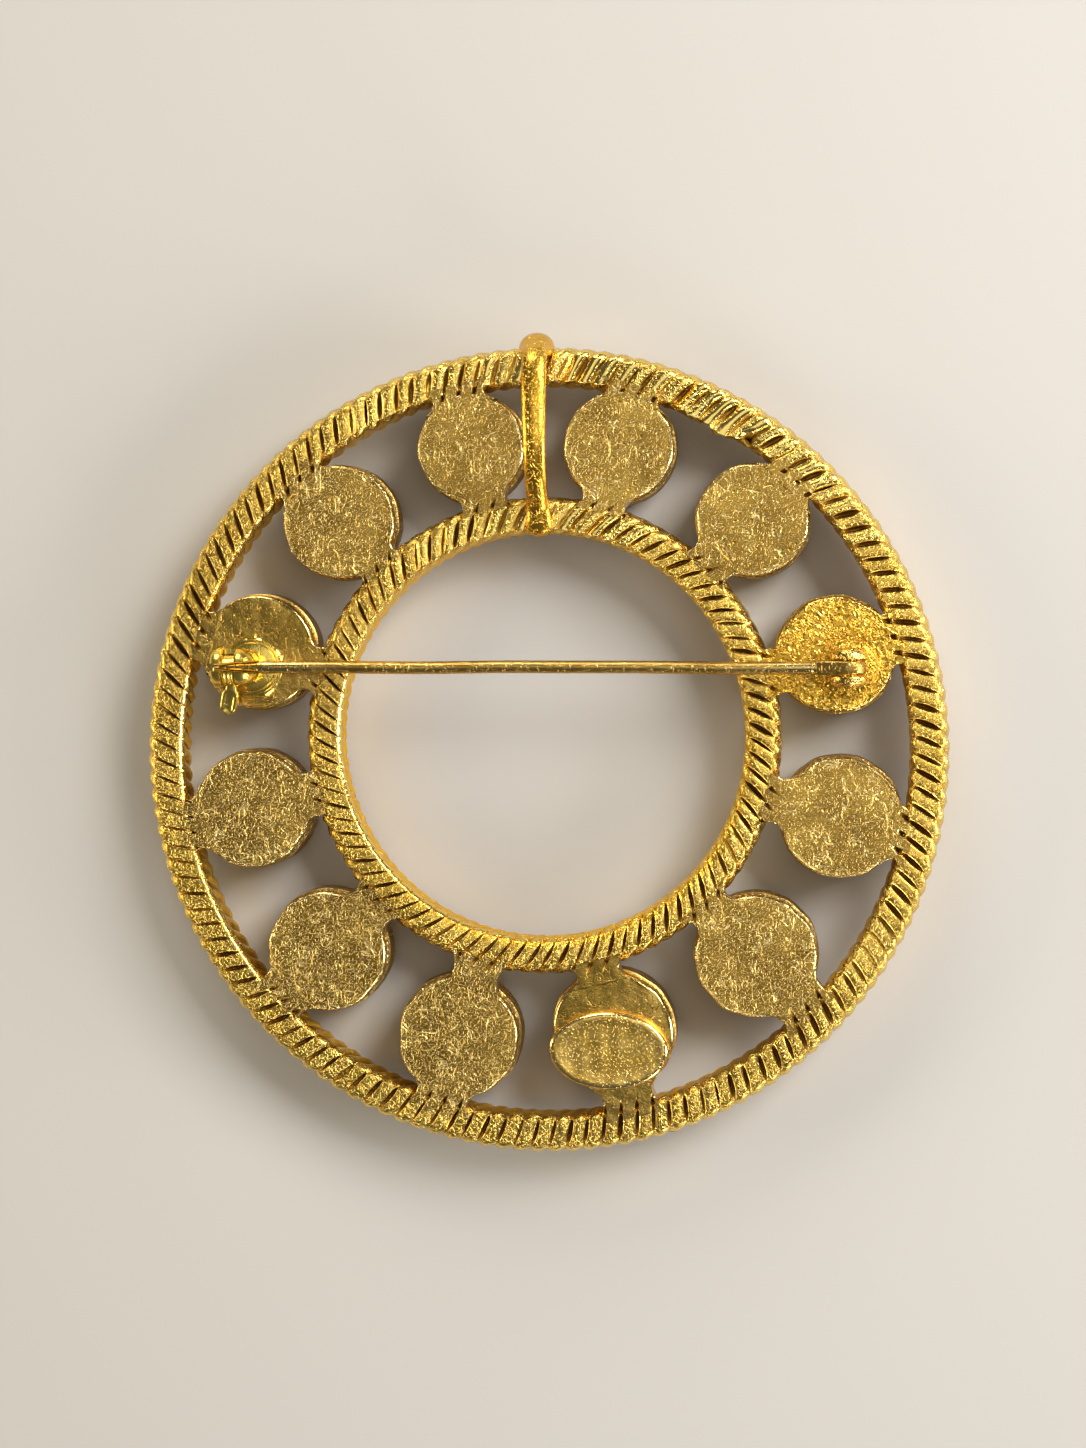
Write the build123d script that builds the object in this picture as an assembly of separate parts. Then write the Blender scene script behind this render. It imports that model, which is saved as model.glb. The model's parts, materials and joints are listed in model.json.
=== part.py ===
from build123d import *
import math
import os

# A circle pin brooch that lies on its front, with its back up.
# X is to the right and Y is up as the back is looked at, and Z comes out of the back.
# Z is 0 at the tips of the front domes. Lengths are in millimetres, angles in degrees.

# Outer rope ring
ring_r = 28.5
ring_w = 2.8
ring_depth = 4.0
ring_strands = 140
ring_twist = 4
# Inner rope ring, whose centre is higher than the outer ring's
inner_crest_r = 14.25
inner_w = 2.65
inner_depth = 3.8
inner_strands = 88
inner_twist = 6
inner_rise = 1.1
# Strands: how deep the groove between two of them is, and how much of a pitch the crest takes
groove_depth = 0.42
crest_share = 0.7
# Cups between the rings
cup_lip = 0.16
cup_depth = 4.8
cup_edge = 0.9
cup_wall_depth = 3.2
edge_bevel = 0.14
bezel_step = 0.3
step_recess = 0.12
back_step = 0.04
# Necks that join a cup to the two rings
neck_outer_w = 3.5
neck_inner_w = 2.9
neck_flare = 0.5
neck_root = 0.85
neck_bite = 0.06
neck_depth = 1.6
# Pin line: its height above the backs, how far it is below the middles of its two cups, and the wire
pin_rise = 2.0
pin_drop = 0.97
wire_r = 0.45
# Hinge, and how far it is out from the middle of its cup
hinge_out = 0.86
hinge_base_r = 2.03
hinge_base_edge = 0.3
hinge_base_h = 0.55
ear_r = 1.3
ear_t = 0.62
ear_gap = 1.2
ear_round = 0.2
eye_r = 1.2
eye_side_gap = 0.1
eye_length = 2.4
eye_neck = 0.52
rivet_r = 0.4
rivet_head_r = 0.62
rivet_head_t = 0.16
seat_gap = 0.02
running_gap = 0.05
# Catch, and how far it is out from the middle of its cup; from the left: flange, roller and dome
catch_out = 0.3
catch_base_r = 1.95
catch_base_t = 0.32
catch_step = 0.24
flange_reach = 2.5
flange_t = 0.8
flange_r = 1.4
flange_round = 0.3
leg_w = 1.7
dome_r = 1.38
dome_set = 0.25
tube_r = 0.86
slot_gap = 0.06
roller_r = 1.3
roller_w = 0.83
roller_gap = 0.06
side_gap = 0.07
taper_length = 3.4
tip_r = 0.16
tip_inset = 0.35
# Thumb lever on the roller
lever_length = 2.15
lever_w = 0.95
lever_t = 0.42
lever_drop = 10
lever_skew = 12
gutter_w = 0.5
gutter_depth = 0.14
# Bail
bail_x = -0.32
bail_over = 0.92
bail_bulb_r = 1.25
bail_rise = 2.9
bail_w = 1.7
bail_t = 0.8
# Oval plate, and how far it is from the middle of its cup
oval_left = 0.24
oval_down = 1.15
oval_w = 8.4
oval_h = 5.5
oval_t = 0.75
oval_round = 0.3

back_z = cup_depth
cup_back_z = back_z - back_step
pin_z = back_z + pin_rise
ring_y = -bail_over / 2
inner_y = ring_y + inner_rise

# Cups, clockwise from the top of the back. Columns: clock angle about the inner ring, share of the
# way from ring to ring at which the middle is, share of the room between the rings that it fills.
cups = [
    (15.0, 0.532, 0.990),
    (44.3, 0.533, 0.975),
    (74.3, 0.523, 0.952),
    (104.9, 0.527, 0.923),
    (135.5, 0.481, 0.888),
    (166.4, 0.465, 0.862),
    (195.5, 0.535, 0.863),
    (225.0, 0.502, 0.883),
    (255.7, 0.497, 0.908),
    (286.3, 0.496, 0.954),
    (316.4, 0.501, 0.993),
    (346.2, 0.521, 0.973),
]
# Which of them carry the hinge, the oval plate and the catch
hinge_cup = 2
plate_cup = 5
catch_cup = 9

# Cross-section of each rope, counted round it from the back's inner corner.
# Columns: share of the rope's width from the inside out, share of its depth from the back down.
ring_section = [
    (0.08, 0.00),
    (0.85, 0.00),
    (1.00, 0.30),
    (0.87, 0.88),
    (0.27, 1.00),
    (0.00, 0.62),
]
inner_section = [
    (0.24, 0.00),
    (0.93, 0.00),
    (1.00, 0.30),
    (0.87, 0.88),
    (0.27, 1.00),
    (0.00, 0.58),
]

# Route of the bail's strap. Columns: share of the way from the inner ring's crest to the outer rim,
# share of the bail's rise, bend radius as a share of the rise.
bail_route = [
    (1.00, -0.50, 0.0),
    (1.00, 0.42, 0.35),
    (0.84, 0.80, 0.75),
    (0.47, 0.93, 1.20),
    (0.27, 0.72, 0.65),
    (0.13, 0.13, 0.22),
    (0.01, 0.13, 0.20),
    (0.01, -0.42, 0.0),
]


def section_points(section, inside_r, width, depth):
    """A rope's crest and groove outlines, as radius and height, and the way round it as shares."""
    crest = [(inside_r + w * width, back_z - d * depth) for w, d in section]
    mid_r = inside_r + width / 2
    mid_z = back_z - depth / 2
    groove = []
    for r, z in crest:
        share = groove_depth / math.hypot(mid_r - r, mid_z - z)
        groove.append((r + (mid_r - r) * share, z + (mid_z - z) * share))
    steps = [math.dist(crest[i - 1], crest[i]) for i in range(1, len(crest))]
    around = sum(steps) + math.dist(crest[-1], crest[0])
    way = [sum(steps[:i]) / around for i in range(len(crest))]
    return crest, groove, way


def rope_ring(section, inside_r, width, depth, strands, twist, center_y):
    """A ring of slanted strands in flat facets: crest start, crest end and groove, over and over."""
    crest, groove, way = section_points(section, inside_r, width, depth)
    pitch = 2 * math.pi / strands
    marks = [-crest_share / 2, crest_share / 2, 0.5]
    count = len(section)

    def point(station, j):
        turn, j = divmod(j, count)
        strand, mark = divmod(station, len(marks))
        r, z = groove[j] if mark == len(marks) - 1 else crest[j]
        angle = pitch * (strand + marks[mark] - twist * (way[j] + turn))
        return Vector(r * math.cos(angle), center_y + r * math.sin(angle), z)

    faces = []
    for station in range(strands * len(marks)):
        for j in range(count):
            a = point(station, j)
            b = point(station + 1, j)
            c = point(station + 1, j + 1)
            d = point(station, j + 1)
            if a.Z == b.Z == c.Z == d.Z:
                faces.append(Face(Wire.make_polygon([a, b, c, d])))
            else:
                faces.append(Face(Wire.make_polygon([a, b, c])))
                faces.append(Face(Wire.make_polygon([a, c, d])))
    return Solid(Shell(faces))


def ring_edges(clock):
    """Where the two ropes' facing edges are on a line out from the inner ring's centre."""
    out = math.radians(90 - clock)
    low = inner_crest_r + inner_w
    high = math.sqrt((ring_r - ring_w) ** 2 - (inner_rise * math.cos(out)) ** 2)
    return low, high - inner_rise * math.sin(out)


def cup_place(clock, way_share, room_share):
    """A cup's centre and radius."""
    out = math.radians(90 - clock)
    low, high = ring_edges(clock)
    reach = low + (high - low) * way_share
    return reach * math.cos(out), inner_y + reach * math.sin(out), (high - low) * room_share / 2


hinge_x = cup_place(*cups[hinge_cup])[0] + hinge_out
catch_x = cup_place(*cups[catch_cup])[0] - catch_out
pin_line_y = (cup_place(*cups[hinge_cup])[1] + cup_place(*cups[catch_cup])[1]) / 2 - pin_drop
flange_x = catch_x - flange_reach
dome_x = flange_x + flange_t + roller_w + 2 * side_gap


def cap_middle(radius, height):
    """The middle of a spherical cap's profile, as its distances from the axis and from the tip."""
    sphere_r = (radius**2 + height**2) / (2 * height)
    half = math.asin(radius / sphere_r) / 2
    return sphere_r * math.sin(half), sphere_r * (1 - math.cos(half))


def cup(x, y, r):
    """One cup: flat back with a bevelled edge, a stepped rim, a straight wall and a domed front."""
    wall_r = r + cup_lip
    rim_z = back_z - cup_wall_depth
    bezel_z = back_z - cup_edge - bezel_step
    with BuildPart() as made:
        with BuildSketch(Plane.XZ):
            with BuildLine():
                Polyline(
                    (0, 0),
                    (0, cup_back_z),
                    (r - edge_bevel, cup_back_z),
                    (r, cup_back_z - edge_bevel),
                    (r, back_z - cup_edge),
                    (r - step_recess, back_z - cup_edge - step_recess),
                    (r - step_recess, bezel_z + step_recess / 2),
                    (wall_r, bezel_z - step_recess / 2),
                    (wall_r, rim_z),
                )
                ThreePointArc((wall_r, rim_z), cap_middle(wall_r, rim_z), (0, 0))
            make_face()
        revolve(axis=Axis.Z)
    return Pos(x, y, 0) * made.part


def neck_shape(r, gap, width):
    """A neck with hollow sides, along X from inside a cup's edge to inside a ring."""
    near = r - neck_root
    far = r + gap + neck_root
    half = width / 2
    ends = half + neck_flare
    waist = (near + far) / 2
    with BuildSketch() as made:
        with BuildLine():
            ThreePointArc((near, -ends), (waist, -half), (far, -ends))
            Line((far, -ends), (far, ends))
            ThreePointArc((far, ends), (waist, half), (near, ends))
            Line((near, ends), (near, -ends))
        make_face()
    return made.sketch


def necks(clock, x, y, r):
    """The two necks of one cup: a thin layer up to the strands, and roots that run in under them."""
    low, high = ring_edges(clock)
    reach = math.hypot(x, y - inner_y)
    plan = Rot(0, 0, 90 - clock) * neck_shape(r, high - reach - r, neck_outer_w)
    plan += Rot(0, 0, 270 - clock) * neck_shape(r, reach - r - low, neck_inner_w)
    plan = Pos(x, y) * plan
    root_top = back_z - groove_depth - back_step
    roots = extrude(Pos(0, 0, back_z - neck_depth) * plan, root_top - back_z + neck_depth)
    edge_out = ring_r - ring_w + ring_section[0][0] * ring_w + neck_bite
    edge_in = inner_crest_r + inner_section[1][0] * inner_w - neck_bite
    visible = plan & (Pos(0, ring_y) * Circle(edge_out))
    visible -= Pos(0, inner_y) * Circle(edge_in)
    top = extrude(Pos(0, 0, root_top) * visible, cup_back_z - root_top)
    return roots + top


def upright(width, top_r, thickness):
    """A plate in the XZ plane, round at its top about the pin line and straight down to the backs."""
    with BuildPart() as made:
        with BuildSketch(Plane.XZ):
            Circle(top_r)
            with Locations((0, -pin_rise / 2 - back_step / 2)):
                Rectangle(width, pin_rise + back_step)
        extrude(amount=thickness / 2, both=True)
    return made.part


def hinge():
    """Round domed base with two upright ears, drilled for the rivet."""
    edge_z = back_z + hinge_base_edge
    top_z = back_z + hinge_base_h
    middle_r, middle_drop = cap_middle(hinge_base_r, top_z - edge_z)
    with BuildPart() as base:
        with BuildSketch(Plane.XZ):
            with BuildLine():
                Polyline((0, top_z), (0, cup_back_z), (hinge_base_r, cup_back_z), (hinge_base_r, edge_z))
                ThreePointArc((hinge_base_r, edge_z), (middle_r, top_z - middle_drop), (0, top_z))
            make_face()
        revolve(axis=Axis.Z)
    ear = upright(2 * ear_r, ear_r, ear_t)
    outside = ear.faces().sort_by(Axis.Y)
    low_ear = fillet(outside[0].edges().filter_by(GeomType.CIRCLE), ear_round)
    high_ear = fillet(outside[-1].edges().filter_by(GeomType.CIRCLE), ear_round)
    spread = (ear_gap + ear_t) / 2
    made = Pos(hinge_x, pin_line_y, 0) * base.part
    made += Pos(hinge_x, pin_line_y - spread, pin_z) * low_ear
    made += Pos(hinge_x, pin_line_y + spread, pin_z) * high_ear
    hole = Rot(90, 0, 0) * Cylinder(rivet_r + seat_gap, ear_gap + 4 * ear_t)
    return made - Pos(hinge_x, pin_line_y, pin_z) * hole


def along_x(radius, length, x):
    """A round bar on the pin line, from x to x + length."""
    bar = Rot(0, 90, 0) * Cylinder(radius, length, align=(Align.CENTER, Align.CENTER, Align.MIN))
    return Pos(x, pin_line_y, pin_z) * bar


def slot_half(x):
    """Half the slot's width at a place along the pin line: the pin's tapered end and slot_gap."""
    start = flange_x - tip_inset
    share = (x - start) / (taper_length + 2 * tip_inset)
    return tip_r + slot_gap + (wire_r - tip_r) * share


def slot_cutter():
    """The tapered slot from the pin line up, round at its bottom."""
    start = flange_x - tip_inset
    end = flange_x + tip_inset + taper_length
    near = slot_half(start)
    far = slot_half(end)
    with BuildPart() as above:
        with BuildSketch():
            with BuildLine():
                Polyline((start, near), (start, -near), (end, -far), (end, far), (start, near))
            make_face()
        extrude(amount=2 * back_z)
    bottom = Rot(0, 90, 0) * Cone(near, far, end - start, align=(Align.CENTER, Align.CENTER, Align.MIN))
    return Pos(0, pin_line_y, pin_z) * above.part + Pos(start, pin_line_y, pin_z) * bottom


def catch():
    """Stepped round base, left flange, right dome and a fixed tube between them, slotted for the pin."""
    base = Cylinder(catch_base_r, catch_base_t + back_step, align=(Align.CENTER, Align.CENTER, Align.MIN))
    step_r = catch_base_r - catch_step
    step_t = 2 * catch_base_t + back_step
    step = Cylinder(step_r, step_t, align=(Align.CENTER, Align.CENTER, Align.MIN))
    made = Pos(catch_x, pin_line_y, cup_back_z) * (base + step)
    flange = along_x(flange_r, flange_t, flange_x)
    flange = fillet(flange.edges().filter_by(GeomType.CIRCLE).sort_by(Axis.X)[0], flange_round)
    made += flange
    dome_center_x = dome_x + dome_set
    dome = Pos(dome_center_x, pin_line_y, pin_z) * Sphere(dome_r)
    keep = Pos(dome_x + dome_r, pin_line_y, pin_z) * Box(2 * dome_r, 3 * dome_r, 3 * dome_r)
    made += dome & keep
    leg_h = pin_rise + back_step
    for leg_x, leg_t in ((flange_x + flange_t / 2, flange_t - flange_round), (dome_x + dome_r / 2, dome_r)):
        leg = Box(leg_t, leg_w, leg_h, align=(Align.CENTER, Align.CENTER, Align.MIN))
        made += Pos(leg_x, pin_line_y, cup_back_z) * leg
    made += along_x(tube_r, dome_x + dome_set - flange_x - flange_t / 2, flange_x + flange_t / 2)
    return made - slot_cutter()


def bail():
    """A half-round strap that arches off the backs, with a bulb over the outer rim."""
    y_in = inner_y + inner_crest_r
    y_out = ring_y + ring_r
    places = [(bail_x, y_in + a * (y_out - y_in), back_z + b * bail_rise) for a, b, _ in bail_route]
    radii = [c * bail_rise for _, _, c in bail_route[1:-1]]
    path = FilletPolyline(*places, radius=radii)
    half = bail_w / 2
    with BuildSketch(Plane(origin=places[0], x_dir=(1, 0, 0), z_dir=(0, 0, 1))) as section:
        with BuildLine():
            Polyline((-half, 0), (-half, -bail_t / 2), (half, -bail_t / 2), (half, 0))
            ThreePointArc((half, 0), (0, bail_t / 2), (-half, 0))
        make_face()
    strap = sweep(section.sketch, path=path)
    bulb_y = y_out + bail_over - bail_bulb_r
    return strap + Pos(bail_x, bulb_y, back_z - bail_bulb_r / 3) * Sphere(bail_bulb_r)


def oval_plate():
    """The small oval plate, rounded at its upper edge."""
    with BuildPart() as made:
        with BuildSketch():
            Ellipse(oval_w / 2, oval_h / 2)
        extrude(amount=oval_t + back_step)
        fillet(made.faces().sort_by(Axis.Z)[-1].edges(), oval_round)
    x, y, _ = cup_place(*cups[plate_cup])
    return Pos(x - oval_left, y - oval_down, cup_back_z) * made.part


def frame():
    """The casting and what is soldered to it, as one solid."""
    pieces = [hinge(), catch(), bail(), oval_plate()]
    for row in cups:
        x, y, r = cup_place(*row)
        pieces.append(cup(x, y, r).fuse(necks(row[0], x, y, r)))
    outer = rope_ring(ring_section, ring_r - ring_w, ring_w, ring_depth, ring_strands, ring_twist, ring_y)
    inner = rope_ring(inner_section, inner_crest_r, inner_w, inner_depth, inner_strands, inner_twist, inner_y)
    between = pieces[0].fuse(*pieces[1:])
    return inner.fuse(between).fuse(outer)


def hinge_rivet():
    """The rivet across the ears, with a flat head at each end."""
    length = ear_gap + 2 * ear_t + 2 * seat_gap
    made = Cylinder(rivet_r, length)
    for side in (-1, 1):
        head = Cylinder(rivet_head_r, rivet_head_t)
        made += Pos(0, 0, side * (length + rivet_head_t) / 2) * head
    return Pos(hinge_x, pin_line_y, pin_z) * Rot(90, 0, 0) * made


def pin_stem():
    """The pin wire: a flat eye on the rivet, a straight wire and a tapered tip in the catch."""
    eye_t = ear_gap - 2 * eye_side_gap
    lean = math.asin((eye_r - eye_neck) / eye_length)
    touch = (-eye_r * math.sin(lean), eye_r * math.cos(lean))
    with BuildPart() as eye:
        with BuildSketch(Plane.XZ):
            Circle(eye_r)
            with BuildLine():
                Polyline(
                    (0, 0),
                    touch,
                    (-eye_length, eye_neck),
                    (-eye_length, -eye_neck),
                    (touch[0], -touch[1]),
                    (0, 0),
                )
            make_face()
            Circle(rivet_r + running_gap, mode=Mode.SUBTRACT)
        extrude(amount=eye_t / 2, both=True)
    tip_x = flange_x + tip_inset
    taper_x = tip_x + taper_length
    made = Pos(hinge_x, pin_line_y, pin_z) * eye.part
    made += along_x(wire_r, hinge_x - eye_length + eye_neck / 2 - taper_x, taper_x)
    taper = Cone(tip_r, wire_r, taper_length, align=(Align.CENTER, Align.CENTER, Align.MIN))
    made += Pos(tip_x, pin_line_y, pin_z) * Rot(0, 90, 0) * taper
    return made


def catch_roller():
    """The sleeve that rolls about the catch's tube, open from the slot to one side, with its lever."""
    bore_r = tube_r + roller_gap
    roller_x = flange_x + flange_t + side_gap
    made = along_x(roller_r, roller_w, roller_x) - along_x(bore_r, 3 * roller_w, roller_x - roller_w)
    edge = slot_half(roller_x + roller_w)
    opening = Box(3 * roller_w, edge + 2 * roller_r, 2 * roller_r, align=(Align.CENTER, Align.MIN, Align.MIN))
    made -= Pos(roller_x + roller_w / 2, pin_line_y - edge, pin_z) * opening
    shoulder = flange_r + 3 * side_gap
    root_w = roller_w - 2 * side_gap
    root_length = shoulder - (roller_r + bore_r) / 2
    blade_length = roller_r + lever_length - shoulder
    with BuildPart() as lever:
        with BuildSketch():
            with Locations((0, root_length / 2)):
                Rectangle(root_w, root_length)
            with Locations(Rotation(0, 0, -lever_skew)):
                with Locations((0, -blade_length / 2)):
                    SlotOverall(blade_length + root_w / 2, lever_w, rotation=90)
        extrude(amount=lever_t / 2, both=True)
        with BuildSketch(Plane.XY.offset(lever_t / 2)):
            with Locations(Rotation(0, 0, -lever_skew)):
                with Locations((0, -blade_length / 2)):
                    SlotOverall(blade_length - gutter_w / 2, gutter_w, rotation=90)
        extrude(amount=-gutter_depth, mode=Mode.SUBTRACT)
    turned = Rot(lever_drop, 0, 0) * Pos(0, -shoulder, 0) * lever.part
    return made + Pos(roller_x + roller_w / 2, pin_line_y, pin_z) * turned


def main():
    os.makedirs("parts", exist_ok=True)
    nodes = {
        "frame": frame(),
        "hinge_rivet": hinge_rivet(),
        "pin_stem": pin_stem(),
        "catch_roller": catch_roller(),
    }
    for name, shape in nodes.items():
        export_step(shape, f"parts/{name}.step")
        box = shape.bounding_box()
        print(name, "volume", round(shape.volume, 2), "low", tuple(box.min), "high", tuple(box.max))
    print("hinge axis", hinge_x, pin_line_y, pin_z, "ring centre", ring_y, "inner centre", inner_y)
    print("pin from", flange_x + tip_inset + taper_length, "to", hinge_x - eye_length)


main()
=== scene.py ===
# %% [markdown]
# # A circle pin brooch, seen from its back
# The brooch is one gold casting: two rings of twisted rope, twelve domed cups between them, and
# short necks that tie the cups to the ropes. A bail, a hinge, a roller catch and a small oval plate
# are soldered to its back. We load the measured model first. It tells us where everything is, and
# the pieces that we make here are dressed over it, in the same place and at the same size.

# %% Load the measured brooch
import json
import math
from collections import namedtuple
from functools import partial

import bpy
import numpy as np
from mathutils import Matrix, Vector

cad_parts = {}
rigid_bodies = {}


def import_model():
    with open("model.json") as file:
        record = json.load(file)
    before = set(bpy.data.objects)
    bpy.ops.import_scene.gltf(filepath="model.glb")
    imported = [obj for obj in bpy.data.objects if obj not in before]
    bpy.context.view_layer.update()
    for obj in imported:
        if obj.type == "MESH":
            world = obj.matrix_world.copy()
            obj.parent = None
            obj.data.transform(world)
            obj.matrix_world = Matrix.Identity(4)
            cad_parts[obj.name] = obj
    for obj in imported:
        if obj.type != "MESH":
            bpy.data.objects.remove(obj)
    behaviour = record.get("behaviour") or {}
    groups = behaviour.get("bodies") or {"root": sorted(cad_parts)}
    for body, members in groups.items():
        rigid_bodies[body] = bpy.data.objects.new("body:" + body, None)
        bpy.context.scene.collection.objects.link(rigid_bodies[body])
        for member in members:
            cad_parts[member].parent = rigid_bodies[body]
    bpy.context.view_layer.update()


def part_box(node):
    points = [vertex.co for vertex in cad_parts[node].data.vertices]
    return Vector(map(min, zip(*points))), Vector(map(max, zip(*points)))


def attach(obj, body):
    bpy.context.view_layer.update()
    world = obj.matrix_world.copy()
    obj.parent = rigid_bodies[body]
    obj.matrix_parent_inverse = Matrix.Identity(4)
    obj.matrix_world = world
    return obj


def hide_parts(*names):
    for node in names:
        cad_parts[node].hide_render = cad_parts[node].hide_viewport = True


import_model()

mm = 0.001

# %% [markdown]
# ## The few sizes that everything follows
# A maker would draw two circles first. The inner rope's circle sits a little higher than the outer
# one, so the cups grow from the top to the bottom. We keep all lengths in millimetres and turn them
# into Blender's metres only when a mesh is made. The backs of the cups and the filed backs of the
# ropes share one plane, and we measure heights from it.

# %% Main sizes
outer_r = 28.5
outer_w = 2.8
outer_depth = 4.0
inner_r = 14.25
inner_w = 2.65
inner_depth = 3.8
back_z = 4.8
bail_over = 0.92
inner_rise = 1.1
frame_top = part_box("frame")[1][1] / mm
outer_center = np.array([0.0, frame_top - bail_over - outer_r])
inner_center = outer_center + np.array([0.0, inner_rise])
outer_inside = outer_r - outer_w
inner_outside = inner_r + inner_w
print("outer rope", outer_r, "mm, centre", outer_center, "inner rope centre", inner_center)

# %% [markdown]
# ## Looking down from the photographer's place
# The photographer stood almost straight above the brooch, a little to its right and towards its
# top, so each wall shows on the side that faces that place. We find the point of the back plane
# right under the camera, put the camera above it, and turn it to the brooch. A plain look-at would
# roll the picture, so we build the camera's axes from the picture's own up direction.

# %% Camera
photo_long_side = 1448
px_aim = (551.5, 721)
px_ring_center = (549.5, 749)
px_ring_radius = 402
px_under_camera = (800, 642)
camera_height = 167.0
focal_px = 2391
sensor_mm = 36
mm_per_px = outer_r / px_ring_radius


def from_photo(px, height):
    """The place, in metres, of a point of the photograph that is at a height over the back plane."""
    x = outer_center[0] + (px[0] - px_ring_center[0]) * mm_per_px
    y = outer_center[1] + (px_ring_center[1] - px[1]) * mm_per_px
    return Vector((x, y, back_z + height)) * mm


eye = from_photo(px_under_camera, camera_height)
look = (from_photo(px_aim, 0) - eye).normalized()
side = look.cross(Vector((0, 1, 0))).normalized()
up = side.cross(look)
camera_data = bpy.data.cameras.new("camera")
camera_data.sensor_width = sensor_mm
camera_data.lens = sensor_mm * focal_px / photo_long_side
camera = bpy.data.objects.new("camera", camera_data)
camera.matrix_world = Matrix.Translation(eye) @ Matrix((side, up, -look)).transposed().to_4x4()
scene = bpy.context.scene
scene.collection.objects.link(camera)
scene.camera = camera
print("lens", round(camera_data.lens, 1), "mm, tilt", round(math.degrees(look.angle((0, 0, -1))), 1))

# %% [markdown]
# ## A pale table and soft light
# Polished metal shows mostly what is around it, so lighting gold means choosing what it reflects. A
# wide soft box above gives the flat backs their even sheen, narrower ones at the sides draw bright
# lines along the ropes, and the dim room between them leaves darker tones that shape the metal.

# %% Floor and lights
scene.view_settings.view_transform = "Standard"
table_color = (0.56, 0.54, 0.51, 1)
table_roughness = 0.6
room_color = (0.62, 0.60, 0.57, 1)
room_strength = 0.16

bpy.ops.mesh.primitive_plane_add(size=4)
floor = bpy.context.object
floor.name = "floor"
pale_table = bpy.data.materials.new("pale_table")
pale_table.use_nodes = True
table_shader = pale_table.node_tree.nodes["Principled BSDF"]
table_shader.inputs["Base Color"].default_value = table_color
table_shader.inputs["Roughness"].default_value = table_roughness
floor.data.materials.append(pale_table)

world = bpy.data.worlds.new("room")
world.use_nodes = True
world.node_tree.nodes["Background"].inputs["Color"].default_value = room_color
world.node_tree.nodes["Background"].inputs["Strength"].default_value = room_strength
scene.world = world

# Columns: name, place and size in metres, glow, colour
soft_boxes = [
    ("key_window", (0.28, 0.22, 0.30), 0.22, 14.0, (1.0, 0.98, 0.95)),
    ("right_low", (0.46, -0.06, 0.13), 0.16, 18.0, (1.0, 0.98, 0.96)),
    ("near_right", (0.22, -0.36, 0.16), 0.14, 10.0, (1.0, 0.98, 0.95)),
    ("left_glow", (-0.46, 0.02, 0.16), 0.18, 10.0, (1.0, 0.84, 0.54)),
    ("far_strip", (-0.20, 0.80, 0.36), 0.34, 8.0, (1.0, 0.94, 0.82)),
    ("overhead", (0.06, 0.06, 0.45), 0.28, 0.9, (1.0, 0.96, 0.89)),
]
for name, place, size, glow, glow_color in soft_boxes:
    data = bpy.data.lights.new(name, "AREA")
    data.size = size
    data.energy = glow * math.pi * size**2
    data.color = glow_color
    box = bpy.data.objects.new(name, data)
    box.location = place
    box.rotation_euler = (-Vector(place)).to_track_quat("-Z", "Y").to_euler()
    scene.collection.objects.link(box)
print("lights", [row[0] for row in soft_boxes])

# %% [markdown]
# ## Turning rows of points into metal
# Nearly every piece here is a sheet of points in rows: round a ring and round its section, or along
# a strap and across it. One helper joins such rows with faces. It can also close the sheet into a
# tube, and it stores masks on the points, such as how much patina and painted shade a point takes,
# for the materials to read.

# %% Number helpers
def wobble(x, y, size, seed):
    """A smooth uneven field between about -1 and 1, with bumps of the given size in millimetres."""
    rng = np.random.default_rng(seed)
    waves = 7
    total = np.zeros(np.broadcast(x, y).shape)
    for _ in range(waves):
        turn = rng.uniform(0, 2 * math.pi)
        wave = 2 * math.pi / (size * rng.uniform(0.7, 1.6))
        total += np.sin(wave * (np.cos(turn) * x + np.sin(turn) * y) + rng.uniform(0, 2 * math.pi))
    return total / (waves / 2)


def round_wobble(turn, r, size, seed):
    """The same field read round a circle, so that its end meets its start."""
    return wobble(r * np.cos(turn), r * np.sin(turn), size, seed)


def smooth(share):
    """An S-shaped step from 0 to 1."""
    share = np.clip(share, 0, 1)
    return share * share * (3 - 2 * share)


def full_turn(count):
    """Even steps round a full circle, as a column."""
    return (2 * math.pi * np.arange(count) / count)[:, None]


def on_circle(turn, r=1):
    """Pairs of places on a circle round 0, 0."""
    return np.stack([r * np.cos(turn), r * np.sin(turn)], axis=-1)


def points_at(x, y, z):
    """Points from their coordinates, all stretched to one shape."""
    return np.stack(np.broadcast_arrays(x, y, z), axis=-1)


def fine_curve(table, steps):
    """A smooth curve through the rows of a table, with the given steps between two rows."""
    rows = np.array(table, float)
    padded = np.concatenate([[2 * rows[0] - rows[1]], rows, [2 * rows[-1] - rows[-2]]])
    t = np.arange(steps)[:, None] / steps
    made = [
        b + t * (c - a) / 2 + t**2 * (a - 2.5 * b + 2 * c - d / 2)
        + t**3 * (1.5 * (b - c) + (d - a) / 2)
        for a, b, c, d in zip(padded, padded[1:], padded[2:], padded[3:])
    ]
    return np.concatenate([*made, rows[-1:]])


print("wobble at 0, 0:", round(float(wobble(0, 0, 1, 0)), 3))

# %% Mesh helper
def sheet_faces(rows, columns, round_rows, round_columns, shift, first):
    """Faces of a sheet of points, in rows and columns, that may close on itself both ways."""
    i, j = np.meshgrid(
        np.arange(rows if round_rows else rows - 1),
        np.arange(columns if round_columns else columns - 1),
        indexing="ij",
    )
    corners = []
    for di, dj in ((0, 0), (1, 0), (1, 1), (0, 1)):
        column = j + dj
        row = i + di + np.where(column >= columns, shift, 0)
        corners.append(first + (row % rows) * columns + column % columns)
    return np.stack(corners, axis=-1).reshape(-1, 4)


print("faces of 3 rows of 4 points:", len(sheet_faces(3, 4, False, False, 0, 0)))

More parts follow.
